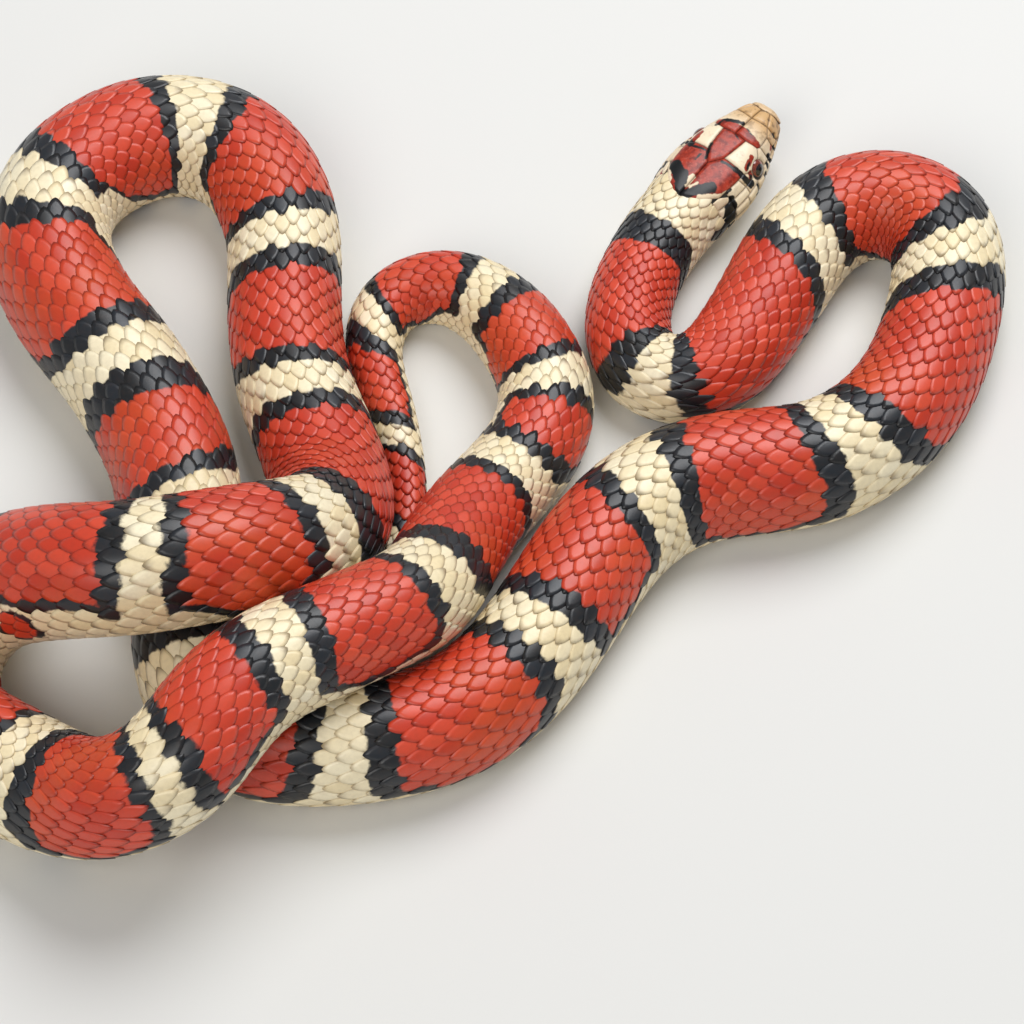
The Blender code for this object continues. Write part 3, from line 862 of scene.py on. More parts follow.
def lattice(first, last):
    """Distance, arc, row and count of every scale of the back between two counts."""
    cells = []
    for row in range(-OUTER_ROW, OUTER_ROW + 1):
        numbers = np.arange(first, last) + (0.5 if row % 2 else 0.0)
        distance = np.interp(numbers, count, along)
        arc = np.sign(row) * ROW_PLACES[abs(row)] * np.interp(distance, along, row_width)
        share = np.abs(arc) / np.interp(distance, along, girth)
        hairline = (HAIRLINE - HAIRLINE_SIDE * ease(0.5, 5.0, np.abs(arc))
                    - HAIRLINE_BELLY * ease(9.0, 10.5, np.abs(arc)))
        keep = (share < COAT_EDGE) & (distance > hairline)
        cells.append(np.stack([distance, arc, np.full(len(numbers), row), numbers], 1)[keep])
    return np.concatenate(cells)


print("scales along the back:", last_count)

# %% [markdown]
# ## Growing the coat
#
# Thousands of scales as separate objects would be slow, so an Array modifier copies the template
# into one mesh, and the copies are then laid on the body by moving their points. Every scale tilts
# a little, its front edge sunk in the skin and its tip raised over the next one. The pattern follows
# each scale only in part and is shifted a little for each, so the edge of a ring runs in steps from
# scale to scale, as pigment does in life.

# %% Many copies in one mesh
def repeat(template, number):
    """One mesh of many copies of a template, by an Array modifier."""
    carrier = bpy.data.objects.new("copies", template)
    bpy.context.scene.collection.objects.link(carrier)
    array = carrier.modifiers.new("copies", "ARRAY")
    array.count = number
    array.use_relative_offset = False
    array.use_constant_offset = True
    array.constant_offset_displace = (3, 0, 0)
    mesh = bpy.data.meshes.new_from_object(carrier.evaluated_get(bpy.context.evaluated_depsgraph_get()))
    bpy.data.objects.remove(carrier)
    return mesh


three = repeat(one_scale, 3)
print("three scales have", len(three.vertices), "points")
bpy.data.meshes.remove(three)

# %% Laying the copies on the body
PATTERN_FOLLOWS = 0.6
PATTERN_SHIFT = 0.16
SPECKLED_SHARE = 0.4
SPECK_RANGE = (0.2, 0.95)
# Share of its cell of the baking map that a scale fills, and the corner where hidden sides go.
CELL_FILLED = 0.45
HIDDEN_CORNER = np.array([0.0005, 0.0005])
HIDDEN_SIZE = 0.0002


def grow(name, cells, points, template, size, tilt, cell_uv):
    """Lays one copy of a template on every cell of the lattice and wraps them on the body.
    size gives half the length and half the width of each scale, tilt the heights of its front,
    its tip, its middle and its wall."""
    mesh = repeat(template, len(cells))
    front, tip, dome, wall = tilt
    below = points[:, 2] < -0.5
    x = points[None, :, 1] * size[:, 1:2]
    y = points[None, :, 0] * size[:, 0:1]
    distance = cells[:, 0:1] + y
    arc = cells[:, 1:2] + x
    reach = np.minimum(points[:, 0] ** 2 + points[:, 1] ** 2, 1.0)
    height = front + (tip - front) * (points[:, 0] + 1) / 2 + dome * (1 - reach) - wall * below
    height = np.broadcast_to(height, distance.shape)
    placed = wrap(distance.ravel(), arc.ravel(), height.ravel())
    placed[:, 2] = np.maximum(placed[:, 2], 0.0)
    mesh.vertices.foreach_set("co", placed.ravel())
    shift = seeds.normal(0, PATTERN_SHIFT, (2, len(cells), 1))
    marks = markings((cells[:, 0:1] + y * PATTERN_FOLLOWS + shift[0]).ravel(),
                     (cells[:, 1:2] + x * PATTERN_FOLLOWS + shift[1]).ravel())
    tone = seeds.uniform(0, 1, len(cells))
    speckled = seeds.uniform(0, 1, len(cells)) < SPECKLED_SHARE
    speck = np.where(speckled, seeds.uniform(*SPECK_RANGE, len(cells)), 0)
    many = len(points)
    give(mesh, "markings", "FLOAT_COLOR",
         np.stack([*marks, np.repeat(tone, many), np.ones(len(placed))], 1))
    flat_place = np.tile(points[:, [1, 0]], (len(cells), 1))
    give(mesh, "scale_place", "FLOAT_VECTOR", np.column_stack([flat_place, np.repeat(speck, many)]))
    inside = np.repeat(cell_uv[:, :2], many, axis=0) + flat_place[:, ::-1] * cell_uv[0, 2:] * CELL_FILLED
    corner = HIDDEN_CORNER + (flat_place + 1) * HIDDEN_SIZE
    bake_map(mesh, np.where(np.tile(below, len(cells))[:, None], corner, inside))
    return piece(name, mesh, scale_finish)


print("share of scales that may carry a brown tip:", SPECKLED_SHARE)

# %% [markdown]
# ## The scales of the back
#
# The coat is cut across the body into four pieces of like size, so that each keeps a baking map of
# its own with room for every scale. Scales are a little longer than their pitch, which makes them
# overlap, and those of the lowest rows are also a little wider.

# %% The scales of the back
COAT_PIECES = 4
COAT_ROWS = 2 * OUTER_ROW + 1
COAT_START = 16.0
SCALE_LENGTH = 0.72
SCALE_WIDTH = 0.80
LOW_SCALE_EXTRA = 0.16
# Heights over the skin of the front edge and the tip, the dome in the middle, and the wall's depth.
SCALE_TILT = (-0.02, 0.24, 0.06, 0.12)


def coat_cells(first, last, rows):
    """Centres and sizes of the cells of a baking map, as bricks laid in rows."""
    cells = lattice(first, last)
    width = 1 / (last - first + 1.5)
    u = (cells[:, 3] - first + 0.75) * width
    v = 0.005 + 0.99 * (cells[:, 2] + OUTER_ROW + 0.5) / rows
    size = np.broadcast_to([width, 0.99 / rows], (len(cells), 2))
    return cells, np.column_stack([u, v, size])


cuts = np.linspace(np.interp(COAT_START, along, count), last_count, COAT_PIECES + 1).astype(int)
for number in range(COAT_PIECES):
    cells, cell_uv = coat_cells(cuts[number], cuts[number + 1], COAT_ROWS)
    local_pitch = np.interp(cells[:, 0], along, pitch)
    stretch = 1 / np.interp(cells[:, 0], along, np.gradient(axis_run, along))
    widening = SCALE_WIDTH + LOW_SCALE_EXTRA * ease(7, OUTER_ROW, np.abs(cells[:, 2]))
    half_wide = np.interp(cells[:, 0], along, row_width) * widening
    size = np.stack([local_pitch * stretch * SCALE_LENGTH, half_wide], 1)
    grow(f"back_scales_{number + 1}", cells, scale_points, one_scale, size, SCALE_TILT, cell_uv)

# %% [markdown]
# ## Belly plates
#
# Underneath, a snake has one wide plate for each pair of ribs, and it grips the ground with their
# rear edges. Each plate is a closed strip from the same tile maker, with many points from side to
# side so that it bends round the belly, and it is laid down by the same code as a scale.

# %% The plates of the belly
PLATE_GRID = (3, 14)
PLATE_LENGTH = 0.68
PLATE_OVERLAP = 0.25
PLATE_TILT = (0.02, 0.24, 0.0, 0.12)
PLATES_PER_ROW = 128

one_plate = closed_tile("one_plate", *PLATE_GRID, 1.0)
plate_points = points_of(one_plate)
plate_numbers = np.arange(0, last_count)
plate_along = np.interp(plate_numbers + 0.5, count, along)
plate_half = np.interp(plate_along, along, half_length)
plate_edge = np.minimum(BELLY_EDGE * np.interp(plate_along, along, row_width), 0.8 * plate_half)
plate_cells = np.stack([plate_along, plate_half, np.zeros(len(plate_along)), plate_numbers], 1)
plate_size = np.stack([np.interp(plate_along, along, pitch) * PLATE_LENGTH,
                       plate_half - plate_edge + PLATE_OVERLAP], 1)
plate_uv = np.column_stack([(plate_numbers % PLATES_PER_ROW + 0.6) / (PLATES_PER_ROW + 1),
                            0.26 + 0.48 * (plate_numbers // PLATES_PER_ROW),
                            np.full((len(plate_numbers), 2), (1 / (PLATES_PER_ROW + 1), 0.46))])
grow("belly_plates", plate_cells, plate_points, one_plate, plate_size, PLATE_TILT, plate_uv)

# %% [markdown]
# ## The shields of the head
#
# A snake's head isn't covered by small scales but by a fixed set of large, smooth shields, and every
# snake of this family has the same ones: a shield at the tip of the snout, pairs of shields behind
# it, a long shield between the eyes with a brow shield on each side, two large shields behind them,
# and a row of lip shields above and below the mouth. Each shield is drawn as a polygon on the
# flattened head, cut out of a fine grid, given a thickness, pillowed towards its edges, and wrapped
# on the head. Cutting from one map keeps neighbours edge to edge.

# %% Drawing on the head
MOUTH_CORNER = 17.0
MOUTH_DIP = 0.45


def mouth_height(behind):
    """Height of the line of the mouth over the axis of the head."""
    return -MOUTH_DIP * math.sin(math.pi * min(behind, MOUTH_CORNER) / MOUTH_CORNER)


def head_outline_at(behind):
    """Half of the ring of the map at this distance behind the snout."""
    return half_rings[int(np.searchsorted(along, max(behind, along[1])))]


def on_top(behind, out):
    """A corner on the crown: behind the snout, and how far from the middle line."""
    outline = head_outline_at(behind)
    widest = int(np.argmax(outline[:, 0]))
    step = np.interp(out, outline[:widest + 1, 0], np.arange(widest + 1))
    return behind, step / HALF_STEPS


def on_side(behind, height):
    """A corner on the side: behind the snout, and its height over the axis of the head."""
    outline = head_outline_at(behind)
    step = np.interp(-(height + THROAT_DEPTH), -outline[:, 1], np.arange(HALF_STEPS + 1))
    return behind, step / HALF_STEPS


def lip(behind, rise=0.0):
    """A corner on the line of the mouth, or a little over or under it."""
    return on_side(behind, mouth_height(behind) + rise)


# The middle of the eyeball: behind the snout, out from the middle line, over the axis of the head.
EYE_PLACE = (10.2, 4.3, 1.6)
# On the flattened head the eye's opening is drawn a little further forward and up.
EYE_MIDDLE = on_side(EYE_PLACE[0] - 0.15, 2.15)
EYE_OPENING = 1.42
NOSTRIL = on_side(3.7, 1.5)
print("the eye is", round(EYE_MIDDLE[1], 2), "of the way from crown to chin")

# %% [markdown]
# ## The colours of the head
#
# The crown is red between the eyes and on the two large shields behind them, and it ends in a black
# chevron with a pale patch in its fork. The snout, brows and lips are pale. Dark strokes mark some
# seams: a slanting line behind each eye, bars on the lips and a blotch behind the jaw, which is partly
# a real black mark and partly painted shade of the gap under the head. Pale strokes lighten the rear
# edge of the crown and the cheeks, and a few red ones fleck the brows and the skin round the eyes. The
# two sides of a living head are never quite alike, so each has strokes of its own. A stroke runs
# between two places and has a width.

# %% Strokes of colour
# Start and end, each as behind the snout and share of the way from crown to chin, positive on the
# right, and then half the width of the stroke in millimetres.
BLACK_STROKES = [
    ((13.6, 0.085), (13.3, 0.20), 0.28), ((13.3, 0.20), (13.2, 0.30), 0.45),
    ((13.2, 0.30), (12.8, 0.40), 0.50), ((13.4, -0.085), (13.8, -0.20), 0.22),
    ((13.6, -0.21), (13.1, -0.26), 0.50), ((13.2, -0.26), (12.8, -0.42), 0.40),
    ((17.9, -0.185), (19.3, -0.08), 1.0), ((18.5, -0.08), (19.7, -0.05), 0.70),
    ((19.3, -0.09), (21.6, 0.0), 0.75), ((18.0, 0.155), (19.4, 0.10), 0.85),
    ((19.4, 0.10), (21.6, 0.02), 0.75),
    ((11.8, -0.088), (14.6, -0.03), 0.22), ((14.4, -0.085), (15.6, -0.085), 0.20),
    ((6.9, -0.17), (6.0, -0.02), 0.36), ((7.0, -0.20), (8.6, -0.20), 0.22),
    ((6.9, 0.14), (6.5, 0.06), 0.14), ((8.3, 0.0), (9.0, 0.09), 0.12),
    ((10.8, 0.265), (11.8, 0.28), 0.22), ((12.0, 0.35), (12.5, 0.42), 0.30),
    ((16.0, 0.275), (17.6, 0.265), 0.20), ((16.8, 0.34), (17.6, 0.37), 0.60),
    # The blotch behind the jaw on each side: partly a real black mark, partly painted shade of the gap
    # under the head.
    ((17.6, 0.39), (18.8, 0.45), 1.15), ((18.4, 0.47), (19.9, 0.55), 1.2),
    ((17.6, -0.40), (18.8, -0.47), 1.0), ((18.4, -0.48), (19.9, -0.56), 1.1),
    ((5.0, 0.46), (5.0, 0.54), 0.24), ((7.0, 0.42), (7.0, 0.54), 0.32),
    ((8.0, 0.45), (8.3, 0.48), 0.30), ((9.2, 0.49), (9.3, 0.55), 0.26),
    ((11.6, 0.47), (12.3, 0.60), 0.34),
    ((5.0, -0.46), (5.0, -0.54), 0.24), ((7.0, -0.42), (7.0, -0.54), 0.30),
    ((9.2, -0.49), (9.3, -0.55), 0.26), ((11.6, -0.47), (12.3, -0.60), 0.34),
    ((3.3, 0.56), (3.6, 0.64), 0.22), ((5.2, 0.56), (5.6, 0.66), 0.26),
    ((9.2, 0.58), (9.4, 0.68), 0.3), ((3.3, -0.56), (3.6, -0.64), 0.22),
    ((5.2, -0.56), (5.6, -0.66), 0.26), ((9.2, -0.58), (9.4, -0.68), 0.3),
]
PALE_STROKES = [
    ((18.2, -0.012), (19.8, -0.012), 0.50), ((18.7, 0.05), (19.8, 0.025), 0.22),
    ((15.8, 0.31), (17.4, 0.28), 0.75), ((18.6, 0.26), (20.6, 0.16), 0.90),
    ((18.6, -0.27), (20.6, -0.17), 0.90), ((15.0, -0.38), (18.5, -0.34), 0.90),
]
RED_STROKES = [
    ((9.9, 0.255), (11.9, 0.27), 0.36), ((11.7, 0.33), (12.4, 0.37), 0.42),
    ((5.4, 0.42), (5.9, 0.42), 0.30), ((10.9, -0.25), (12.5, -0.235), 0.50),
    ((11.7, -0.33), (12.4, -0.37), 0.42), ((19.4, -0.30), (20.6, -0.27), 0.45),
]
print("strokes:", len(BLACK_STROKES), "dark,", len(PALE_STROKES), "pale,", len(RED_STROKES), "red")

# %% [markdown]
# How deep a place lies in a stroke is the stroke's width less the distance to its middle line. The
# depths of all strokes of a colour become one, and it feeds the same finish as the body's rings.

# %% How deep each place lies in the strokes
NOSE_PALE = 6.4
NOSE_SLANT = 0.22


def from_line(behind, share, start, end):
    """How far each place on the head is from the line between two corners, in millimetres."""
    length = np.interp(behind, along, half_length)
    begin = np.stack([np.full(len(behind), start[0]), start[1] * length], 1)
    reach = np.stack([np.full(len(behind), end[0]), end[1] * length], 1) - begin
    offset = np.stack([behind, share * length], 1) - begin
    part = np.clip((offset * reach).sum(1) / np.maximum((reach * reach).sum(1), 1e-9), 0, 1)
    return np.linalg.norm(offset - reach * part[:, None], axis=1)


def stroke_depth(strokes, behind, share):
    """How deep each place lies in any of the strokes, in millimetres."""
    depth = np.full(len(behind), FAR_OUTSIDE)
    for start, end, width in strokes:
        depth = np.maximum(depth, width - from_line(behind, share, start, end))
    return depth


def head_markings(behind, share, tint):
    """Depths in the cream and in the rings for places on the head; share is positive on the right.
    The tint of a shield is red, pale, or nose for the shields that are pale in front."""
    length = np.interp(behind, along, half_length)
    if tint == "red":
        cream = np.full(len(behind), -DEEPEST)
    elif tint == "nose":
        cream = NOSE_PALE + NOSE_SLANT * np.abs(share) * length - behind
    else:
        cream = np.full(len(behind), DEEPEST)
    cream = np.maximum(cream, stroke_depth(PALE_STROKES, behind, share))
    cream = np.minimum(cream, -stroke_depth(RED_STROKES, behind, share))
    black = stroke_depth(BLACK_STROKES, behind, share)
    return limited(np.minimum(cream, -black), np.maximum(cream, black))


crown = np.linspace(8.0, 20.0, 25)
print("share of red on the crown:", float(np.mean(head_markings(crown, 0 * crown, "red")[1] < 0)))

# %% [markdown]
# ## The plan of the shields
#
# Shields meet three at a corner, so each corner is named once and used by all its shields. Then no
# gap can open between two of them when a corner moves.

# %% Corners of the shields
# The corners where three or more shields meet, from the snout to the back of the head.
NOSE_TOP = on_top(1.75, 0.0)
NOSE_SIDE = on_top(1.5, 1.4)
NOSE_LIP = on_side(1.25, 0.35)
CROWN_FRONT = on_top(4.2, 0.0)
NOSE_REAR = on_top(3.9, 2.75)
CHEEK_TOP = on_top(5.2, 3.6)
CHEEK_REAR = on_top(7.4, 4.05)
BROW_OUT = on_top(8.0, 3.9)
BROW_FRONT = on_top(8.35, 2.05)
FRONTAL_FRONT = on_top(8.1, 0.0)
BROW_REAR = on_top(12.8, 1.5)
BROW_END = on_top(12.9, 5.0)
CROWN_TIP = on_top(14.9, 0.0)
TEMPLE_FRONT = on_top(14.1, 5.1)
TEMPLE_MIDDLE = on_top(17.0, 4.85)
TEMPLE_REAR = on_top(18.4, 4.7)
TEMPLE_END = on_top(19.7, 3.8)
CHEEK_LOW = on_side(5.2, 0.75)
EYE_FRONT_LOW = on_side(7.3, 1.0)
EYE_REAR_LOW = on_side(11.3, 1.3)
POST_LOW = on_side(13.6, 1.3)
POST_MIDDLE = on_side(13.6, 2.5)
SIDE_HIGH = on_side(17.0, 2.8)
SIDE_LOW = on_side(17.2, 1.4)
NASAL_SEAM = on_side(3.7, 0.55)
BACK_HIGH = on_side(19.8, 3.1)
BACK_MIDDLE = on_side(19.7, 1.5)
BACK_LOW = on_side(19.5, -0.2)
MOUTH_END = on_side(17.4, -0.2)
CHIN_TIP = (2.2, 1.0)
CHIN_MIDDLE = (7.2, 1.0)
CHIN_REAR = (11.6, 1.0)
print("the crown ends", round(TEMPLE_END[1], 2), "of the way from ridge to chin")

# %% Shields of the crown and the cheeks
SHIELDS = {
    "internasal": ("pale", [NOSE_TOP, NOSE_SIDE, NOSE_REAR, CROWN_FRONT]),
    "prefrontal": ("nose", [CROWN_FRONT, NOSE_REAR, CHEEK_TOP, CHEEK_REAR, BROW_OUT, BROW_FRONT,
                            FRONTAL_FRONT]),
    "brow": ("pale", [BROW_FRONT, BROW_OUT, EYE_MIDDLE, BROW_END, BROW_REAR]),
    "parietal": ("red", [CROWN_TIP, BROW_REAR, BROW_END, TEMPLE_FRONT, TEMPLE_REAR, on_top(20.5, 3.2),
                         on_top(21.6, 1.2), on_top(21.8, 0.0)]),
    "nasal_front": ("pale", [NOSE_LIP, NOSE_SIDE, NOSE_REAR, NASAL_SEAM]),
    "nasal_rear": ("pale", [NASAL_SEAM, NOSE_REAR, CHEEK_TOP, CHEEK_LOW]),
    "loreal": ("pale", [CHEEK_LOW, CHEEK_TOP, CHEEK_REAR, EYE_FRONT_LOW]),
    "preocular": ("pale", [EYE_FRONT_LOW, CHEEK_REAR, BROW_OUT, EYE_MIDDLE]),
    "upper_postocular": ("pale", [EYE_MIDDLE, BROW_END, TEMPLE_FRONT, POST_MIDDLE]),
    "lower_postocular": ("pale", [EYE_MIDDLE, POST_MIDDLE, POST_LOW, EYE_REAR_LOW]),
    "temple_1": ("pale", [POST_MIDDLE, TEMPLE_FRONT, TEMPLE_MIDDLE, SIDE_HIGH]),
    "temple_2": ("pale", [POST_LOW, POST_MIDDLE, SIDE_HIGH, SIDE_LOW]),
    "temple_3": ("pale", [SIDE_HIGH, TEMPLE_MIDDLE, TEMPLE_REAR, TEMPLE_END, BACK_HIGH]),
    "temple_4": ("pale", [SIDE_LOW, SIDE_HIGH, BACK_HIGH, BACK_MIDDLE]),
    "temple_5": ("pale", [MOUTH_END, SIDE_LOW, BACK_MIDDLE, BACK_LOW]),
    "temple_6": ("pale", [on_side(17.4, -1.9), MOUTH_END, BACK_LOW, on_side(19.3, -1.9)]),
}
print("shields on each side of the crown and cheek:", len(SHIELDS))

# %% Shields of the lips and the chin
# Borders between the shields along each lip, behind the snout, and the depth of the lower ones.
UPPER_BORDERS = [1.1, 3.1, 5.0, 7.1, 9.3, 11.6, 14.2, 17.4]
UPPER_TOPS = [NOSE_LIP, NASAL_SEAM, CHEEK_LOW, EYE_FRONT_LOW, EYE_MIDDLE, EYE_REAR_LOW,
              on_side(14.2, 1.31), SIDE_LOW]
LOWER_BORDERS = [0.9, 2.2, 3.5, 5.0, 6.8, 8.9, 11.4, 14.2, 17.4]
LOWER_DEPTHS = (1.3, 1.4, 1.5, 1.6, 1.65, 1.75, 1.8)
LOWER_EDGES = [lip(0.9, -0.6), on_side(2.2, -1.35)] + [
    lip(behind, -depth) for behind, depth in zip(LOWER_BORDERS[2:], LOWER_DEPTHS)]
LIP_GAP = 0.08
for k, (front, rear) in enumerate(zip(UPPER_BORDERS, UPPER_BORDERS[1:])):
    SHIELDS[f"upper_lip_{k + 1}"] = ("pale", [
        lip(front, LIP_GAP), lip((front + rear) / 2, LIP_GAP), lip(rear, LIP_GAP),
        UPPER_TOPS[k + 1], UPPER_TOPS[k]])
for k, (front, rear) in enumerate(zip(LOWER_BORDERS, LOWER_BORDERS[1:])):
    SHIELDS[f"lower_lip_{k + 1}"] = ("pale", [
        lip(front, -LIP_GAP), lip(rear, -LIP_GAP), LOWER_EDGES[k + 1], LOWER_EDGES[k]])
SHIELDS["lower_lip_1"] = ("pale", [
    lip(0.9, -LIP_GAP), lip(2.2, -LIP_GAP), LOWER_EDGES[1], CHIN_TIP, LOWER_EDGES[0]])
SHIELDS["chin_front"] = ("pale", [LOWER_EDGES[1], LOWER_EDGES[2], LOWER_EDGES[4], CHIN_MIDDLE, CHIN_TIP])
SHIELDS["chin_rear"] = ("pale", [CHIN_MIDDLE, LOWER_EDGES[4], LOWER_EDGES[5], on_side(11.2, -2.6),
                                 CHIN_REAR])
# Half outlines of the shields that cross the middle line, which is 0 on the crown and 1 on the chin.
MIDDLE_SHIELDS = {
    "snout_tip": ("pale", [lip(0.03, 0.05), lip(1.1, LIP_GAP), NOSE_LIP, NOSE_SIDE, NOSE_TOP], 0),
    "frontal": ("red", [FRONTAL_FRONT, BROW_FRONT, BROW_REAR, CROWN_TIP], 0),
    "chin_tip": ("pale", [lip(0.03, -0.05), lip(0.9, -LIP_GAP), LOWER_EDGES[0], CHIN_TIP], 1),
}
print("kinds of shields:", len(SHIELDS) + len(MIDDLE_SHIELDS))

# %% [markdown]
# ## Cutting the shields
#
# A fine grid is laid over the polygon of a shield. A plane that stands on each of its sides cuts the
# grid, and what lies outside is dropped. Drawing the outline by hand would be as easy, but a cut
# grid also has the even inner points that the soft relief needs.

# %% Cutting a polygon out of a grid
SHIELD_STEP = 0.2
GRID_MARGIN = 0.01


def cut_sheet(outline, step):
    """A flat grid with the outline of a polygon, in millimetres."""
    low, high = outline.min(axis=0), outline.max(axis=0)
    sheet = bmesh.new()
    columns = [max(2, int(math.ceil(v / step))) for v in high - low]
    bmesh.ops.create_grid(sheet, x_segments=columns[0], y_segments=columns[1], size=0.5)
    bmesh.ops.scale(sheet, verts=sheet.verts, vec=(*(high - low + GRID_MARGIN), 1))
    bmesh.ops.translate(sheet, verts=sheet.verts, vec=(*((high + low) / 2), 0))
    centre = outline.mean(axis=0)
    for start, end in zip(outline, np.roll(outline, -1, axis=0)):
        out = np.array([end[1] - start[1], start[0] - end[0]])
        if out @ (start - centre) < 0:
            out = -out
        bmesh.ops.bisect_plane(sheet, geom=sheet.verts[:] + sheet.edges[:] + sheet.faces[:],
                               plane_co=(*start, 0), plane_no=(*out, 0), clear_outer=True)
    return sheet


trial = cut_sheet(np.array([(0.0, 0.0), (2.0, 0.0), (1.0, 2.0)]), SHIELD_STEP)
print("faces in a triangle of two millimetres:", len(trial.faces))
trial.free()

# %% [markdown]
# The shields round the eye also lose a round bite, so that the eye has an even rim. Points inside
# the bite are pushed out to its edge, and faces that lie wholly inside it are deleted. The sheet is
# then extruded into a closed plate.

# %% The bite for the eye, and the plate
SMALLEST_EDGE = 0.002


def bite_eye(sheet, length):
    """Opens the sheet round the eye, on a head of this length from crown to chin."""
    bite = np.array([EYE_MIDDLE[0], EYE_MIDDLE[1] * length])
    stretch = np.interp(EYE_PLACE[0], along, half_length) / length
    inside = set()
    for vert in sheet.verts:
        offset = (np.array(vert.co[:2]) - bite) * (1, stretch)
        reach = np.linalg.norm(offset)
        if reach < EYE_OPENING:
            inside.add(vert)
            offset *= EYE_OPENING / max(reach, 1e-6)
            vert.co[:2] = bite + offset / (1, stretch)
    gone = [face for face in sheet.faces if all(vert in inside for vert in face.verts)]
    bmesh.ops.delete(sheet, geom=gone, context="FACES")
    bmesh.ops.remove_doubles(sheet, verts=sheet.verts, dist=2 * SMALLEST_EDGE)
    bmesh.ops.dissolve_degenerate(sheet, edges=sheet.edges, dist=SMALLEST_EDGE)


def flat_plate(name, sheet):
    """Turns the sheet into a closed plate one unit thick, with its upper side at zero."""
    lower = sheet.verts[:]
    bmesh.ops.extrude_face_region(sheet, geom=sheet.faces[:])
    bmesh.ops.translate(sheet, verts=lower, vec=(0, 0, -1))
    bmesh.ops.recalc_face_normals(sheet, faces=sheet.faces)
    mesh = bpy.data.meshes.new(name)
    sheet.to_mesh(mesh)
    sheet.free()
    return mesh


print("the eye opens", 2 * EYE_OPENING, "mm wide")

# %% [markdown]
# ## Relief and colour of a shield
#
# The upper side of a plate rises from its seam within a third of a millimetre, which is what gives
# the soft pillowed look, and swells a little more towards its middle. The nostril is pressed in as a
# round pit and coloured dark, as painted shade in the pit. Both need only the distance of each point
# from the outline and from the nostril, so no sculpting is needed.

# %% Making a shield
SEAM_WIDTH = 0.34
SEAM_HEIGHT = 0.05
PILLOW_HEIGHT = 0.21
SWELL_HEIGHT = 0.05
SWELL_WIDTH = 2.0
PLATE_UNDERSIDE = -0.10
NOSTRIL_SIZE = 0.5
NOSTRIL_FLOOR = 0.15
NOSTRIL_DEPTH = 0.55
UNDER_NOSTRIL = 0.3
SEAM_SHADE_WIDTH = 0.5
HEAD_ON_MAP = 24


def shield(name, tint, corners, side, step=SHIELD_STEP):
    """One closed plate, wrapped on the head, with what its finish needs."""
    shape = np.array(corners)
    length = float(np.interp(shape.mean(axis=0)[0], along, half_length))
    sheet = cut_sheet(shape * (1, length), step)
    bite_eye(sheet, length)
    if not sheet.faces:
        sheet.free()
        return None
    mesh = flat_plate(name, sheet)
    flat = points_of(mesh)
    many = len(flat)
    behind, share = flat[:, 0], flat[:, 1] / length
    local = np.interp(behind, along, half_length)
    depth = np.full(many, -FAR_OUTSIDE)
    for start, end in zip(shape, np.roll(shape, -1, axis=0)):
        depth = np.minimum(depth, from_line(behind, share, start, end))
    to_eye = np.hypot(behind - EYE_MIDDLE[0], (share - EYE_MIDDLE[1]) * local)
    depth = np.minimum(depth, np.abs(to_eye - EYE_OPENING))
    rise = (SEAM_HEIGHT + PILLOW_HEIGHT * ease(0.0, SEAM_WIDTH, depth)
            + SWELL_HEIGHT * ease(0.0, SWELL_WIDTH, depth))
    to_nostril = np.hypot(behind - NOSTRIL[0], (share - NOSTRIL[1]) * local)
    rise -= NOSTRIL_DEPTH * (1 - ease(NOSTRIL_FLOOR, NOSTRIL_SIZE, to_nostril))
    upper = flat[:, 2] > -0.5
    under = PLATE_UNDERSIDE - UNDER_NOSTRIL * (to_nostril < NOSTRIL_SIZE * 1.6)
    height = np.where(upper, rise, under)
    mesh.vertices.foreach_set("co", wrap(behind, -side * share * local, height).ravel())
    marks = head_markings(behind, side * share, tint)
    # Painted shade: the nostril's pit is coloured black.
    nostril_shade = NOSTRIL_SIZE * 0.8 - to_nostril
    tone = seeds.uniform(0.1, 0.9)
    give(mesh, "markings", "FLOAT_COLOR", np.stack([
        np.minimum(marks[0], -nostril_shade), np.maximum(marks[1], nostril_shade), np.full(many, tone), np.ones(many)], 1))
    # Painted shade: how near its seam a place lies, for darkening the shield there.
    seam = 1 - np.clip(depth / SEAM_SHADE_WIDTH, 0, 1)
    give(mesh, "scale_place", "FLOAT_VECTOR", np.stack([seam, np.zeros(many), behind / HEAD_LENGTH], 1))
    uv = np.stack([0.02 + behind / HEAD_ON_MAP, 0.5 - 0.235 * side * share], 1)
    hidden = HIDDEN_CORNER + 0.0005 * np.stack([behind, share], 1) / HEAD_ON_MAP
    bake_map(mesh, np.where(upper[:, None], uv, hidden))
    return mesh


print("a shield is", round(SEAM_HEIGHT + PILLOW_HEIGHT - PLATE_UNDERSIDE, 2), "mm thick")

# %% All the shields in one piece
NASAL_STEP = 0.13


def join(name, meshes):
    """Joins meshes into one by way of one bmesh, which keeps their maps and attributes."""
    whole = bmesh.new()
    for mesh in meshes:
        whole.from_mesh(mesh)
    joined = bpy.data.meshes.new(name)
    whole.to_mesh(joined)
    whole.free()
    return joined


shields = []
for name, (tint, corners) in SHIELDS.items():
    step = NASAL_STEP if name.startswith("nasal") else SHIELD_STEP
    for side in (1, -1):
        shields.append(shield(name, tint, corners, side, step))
for name, (tint, half, fold) in MIDDLE_SHIELDS.items():
    other = [(behind, 2 * fold - share) for behind, share in reversed(half) if share != fold]
    shields.append(shield(name, tint, half + other, 1))
shields = [mesh for mesh in shields if mesh]
print("shields cut:", len(shields))
piece("head_shields", join("head_shields", shields), head_finish)

# %% [markdown]
# ## The throat
#
# Between the chin shields and the first belly plate the throat has small scales that let it stretch
# when the snake swallows. They are the same scale again, in a short lattice of its own.

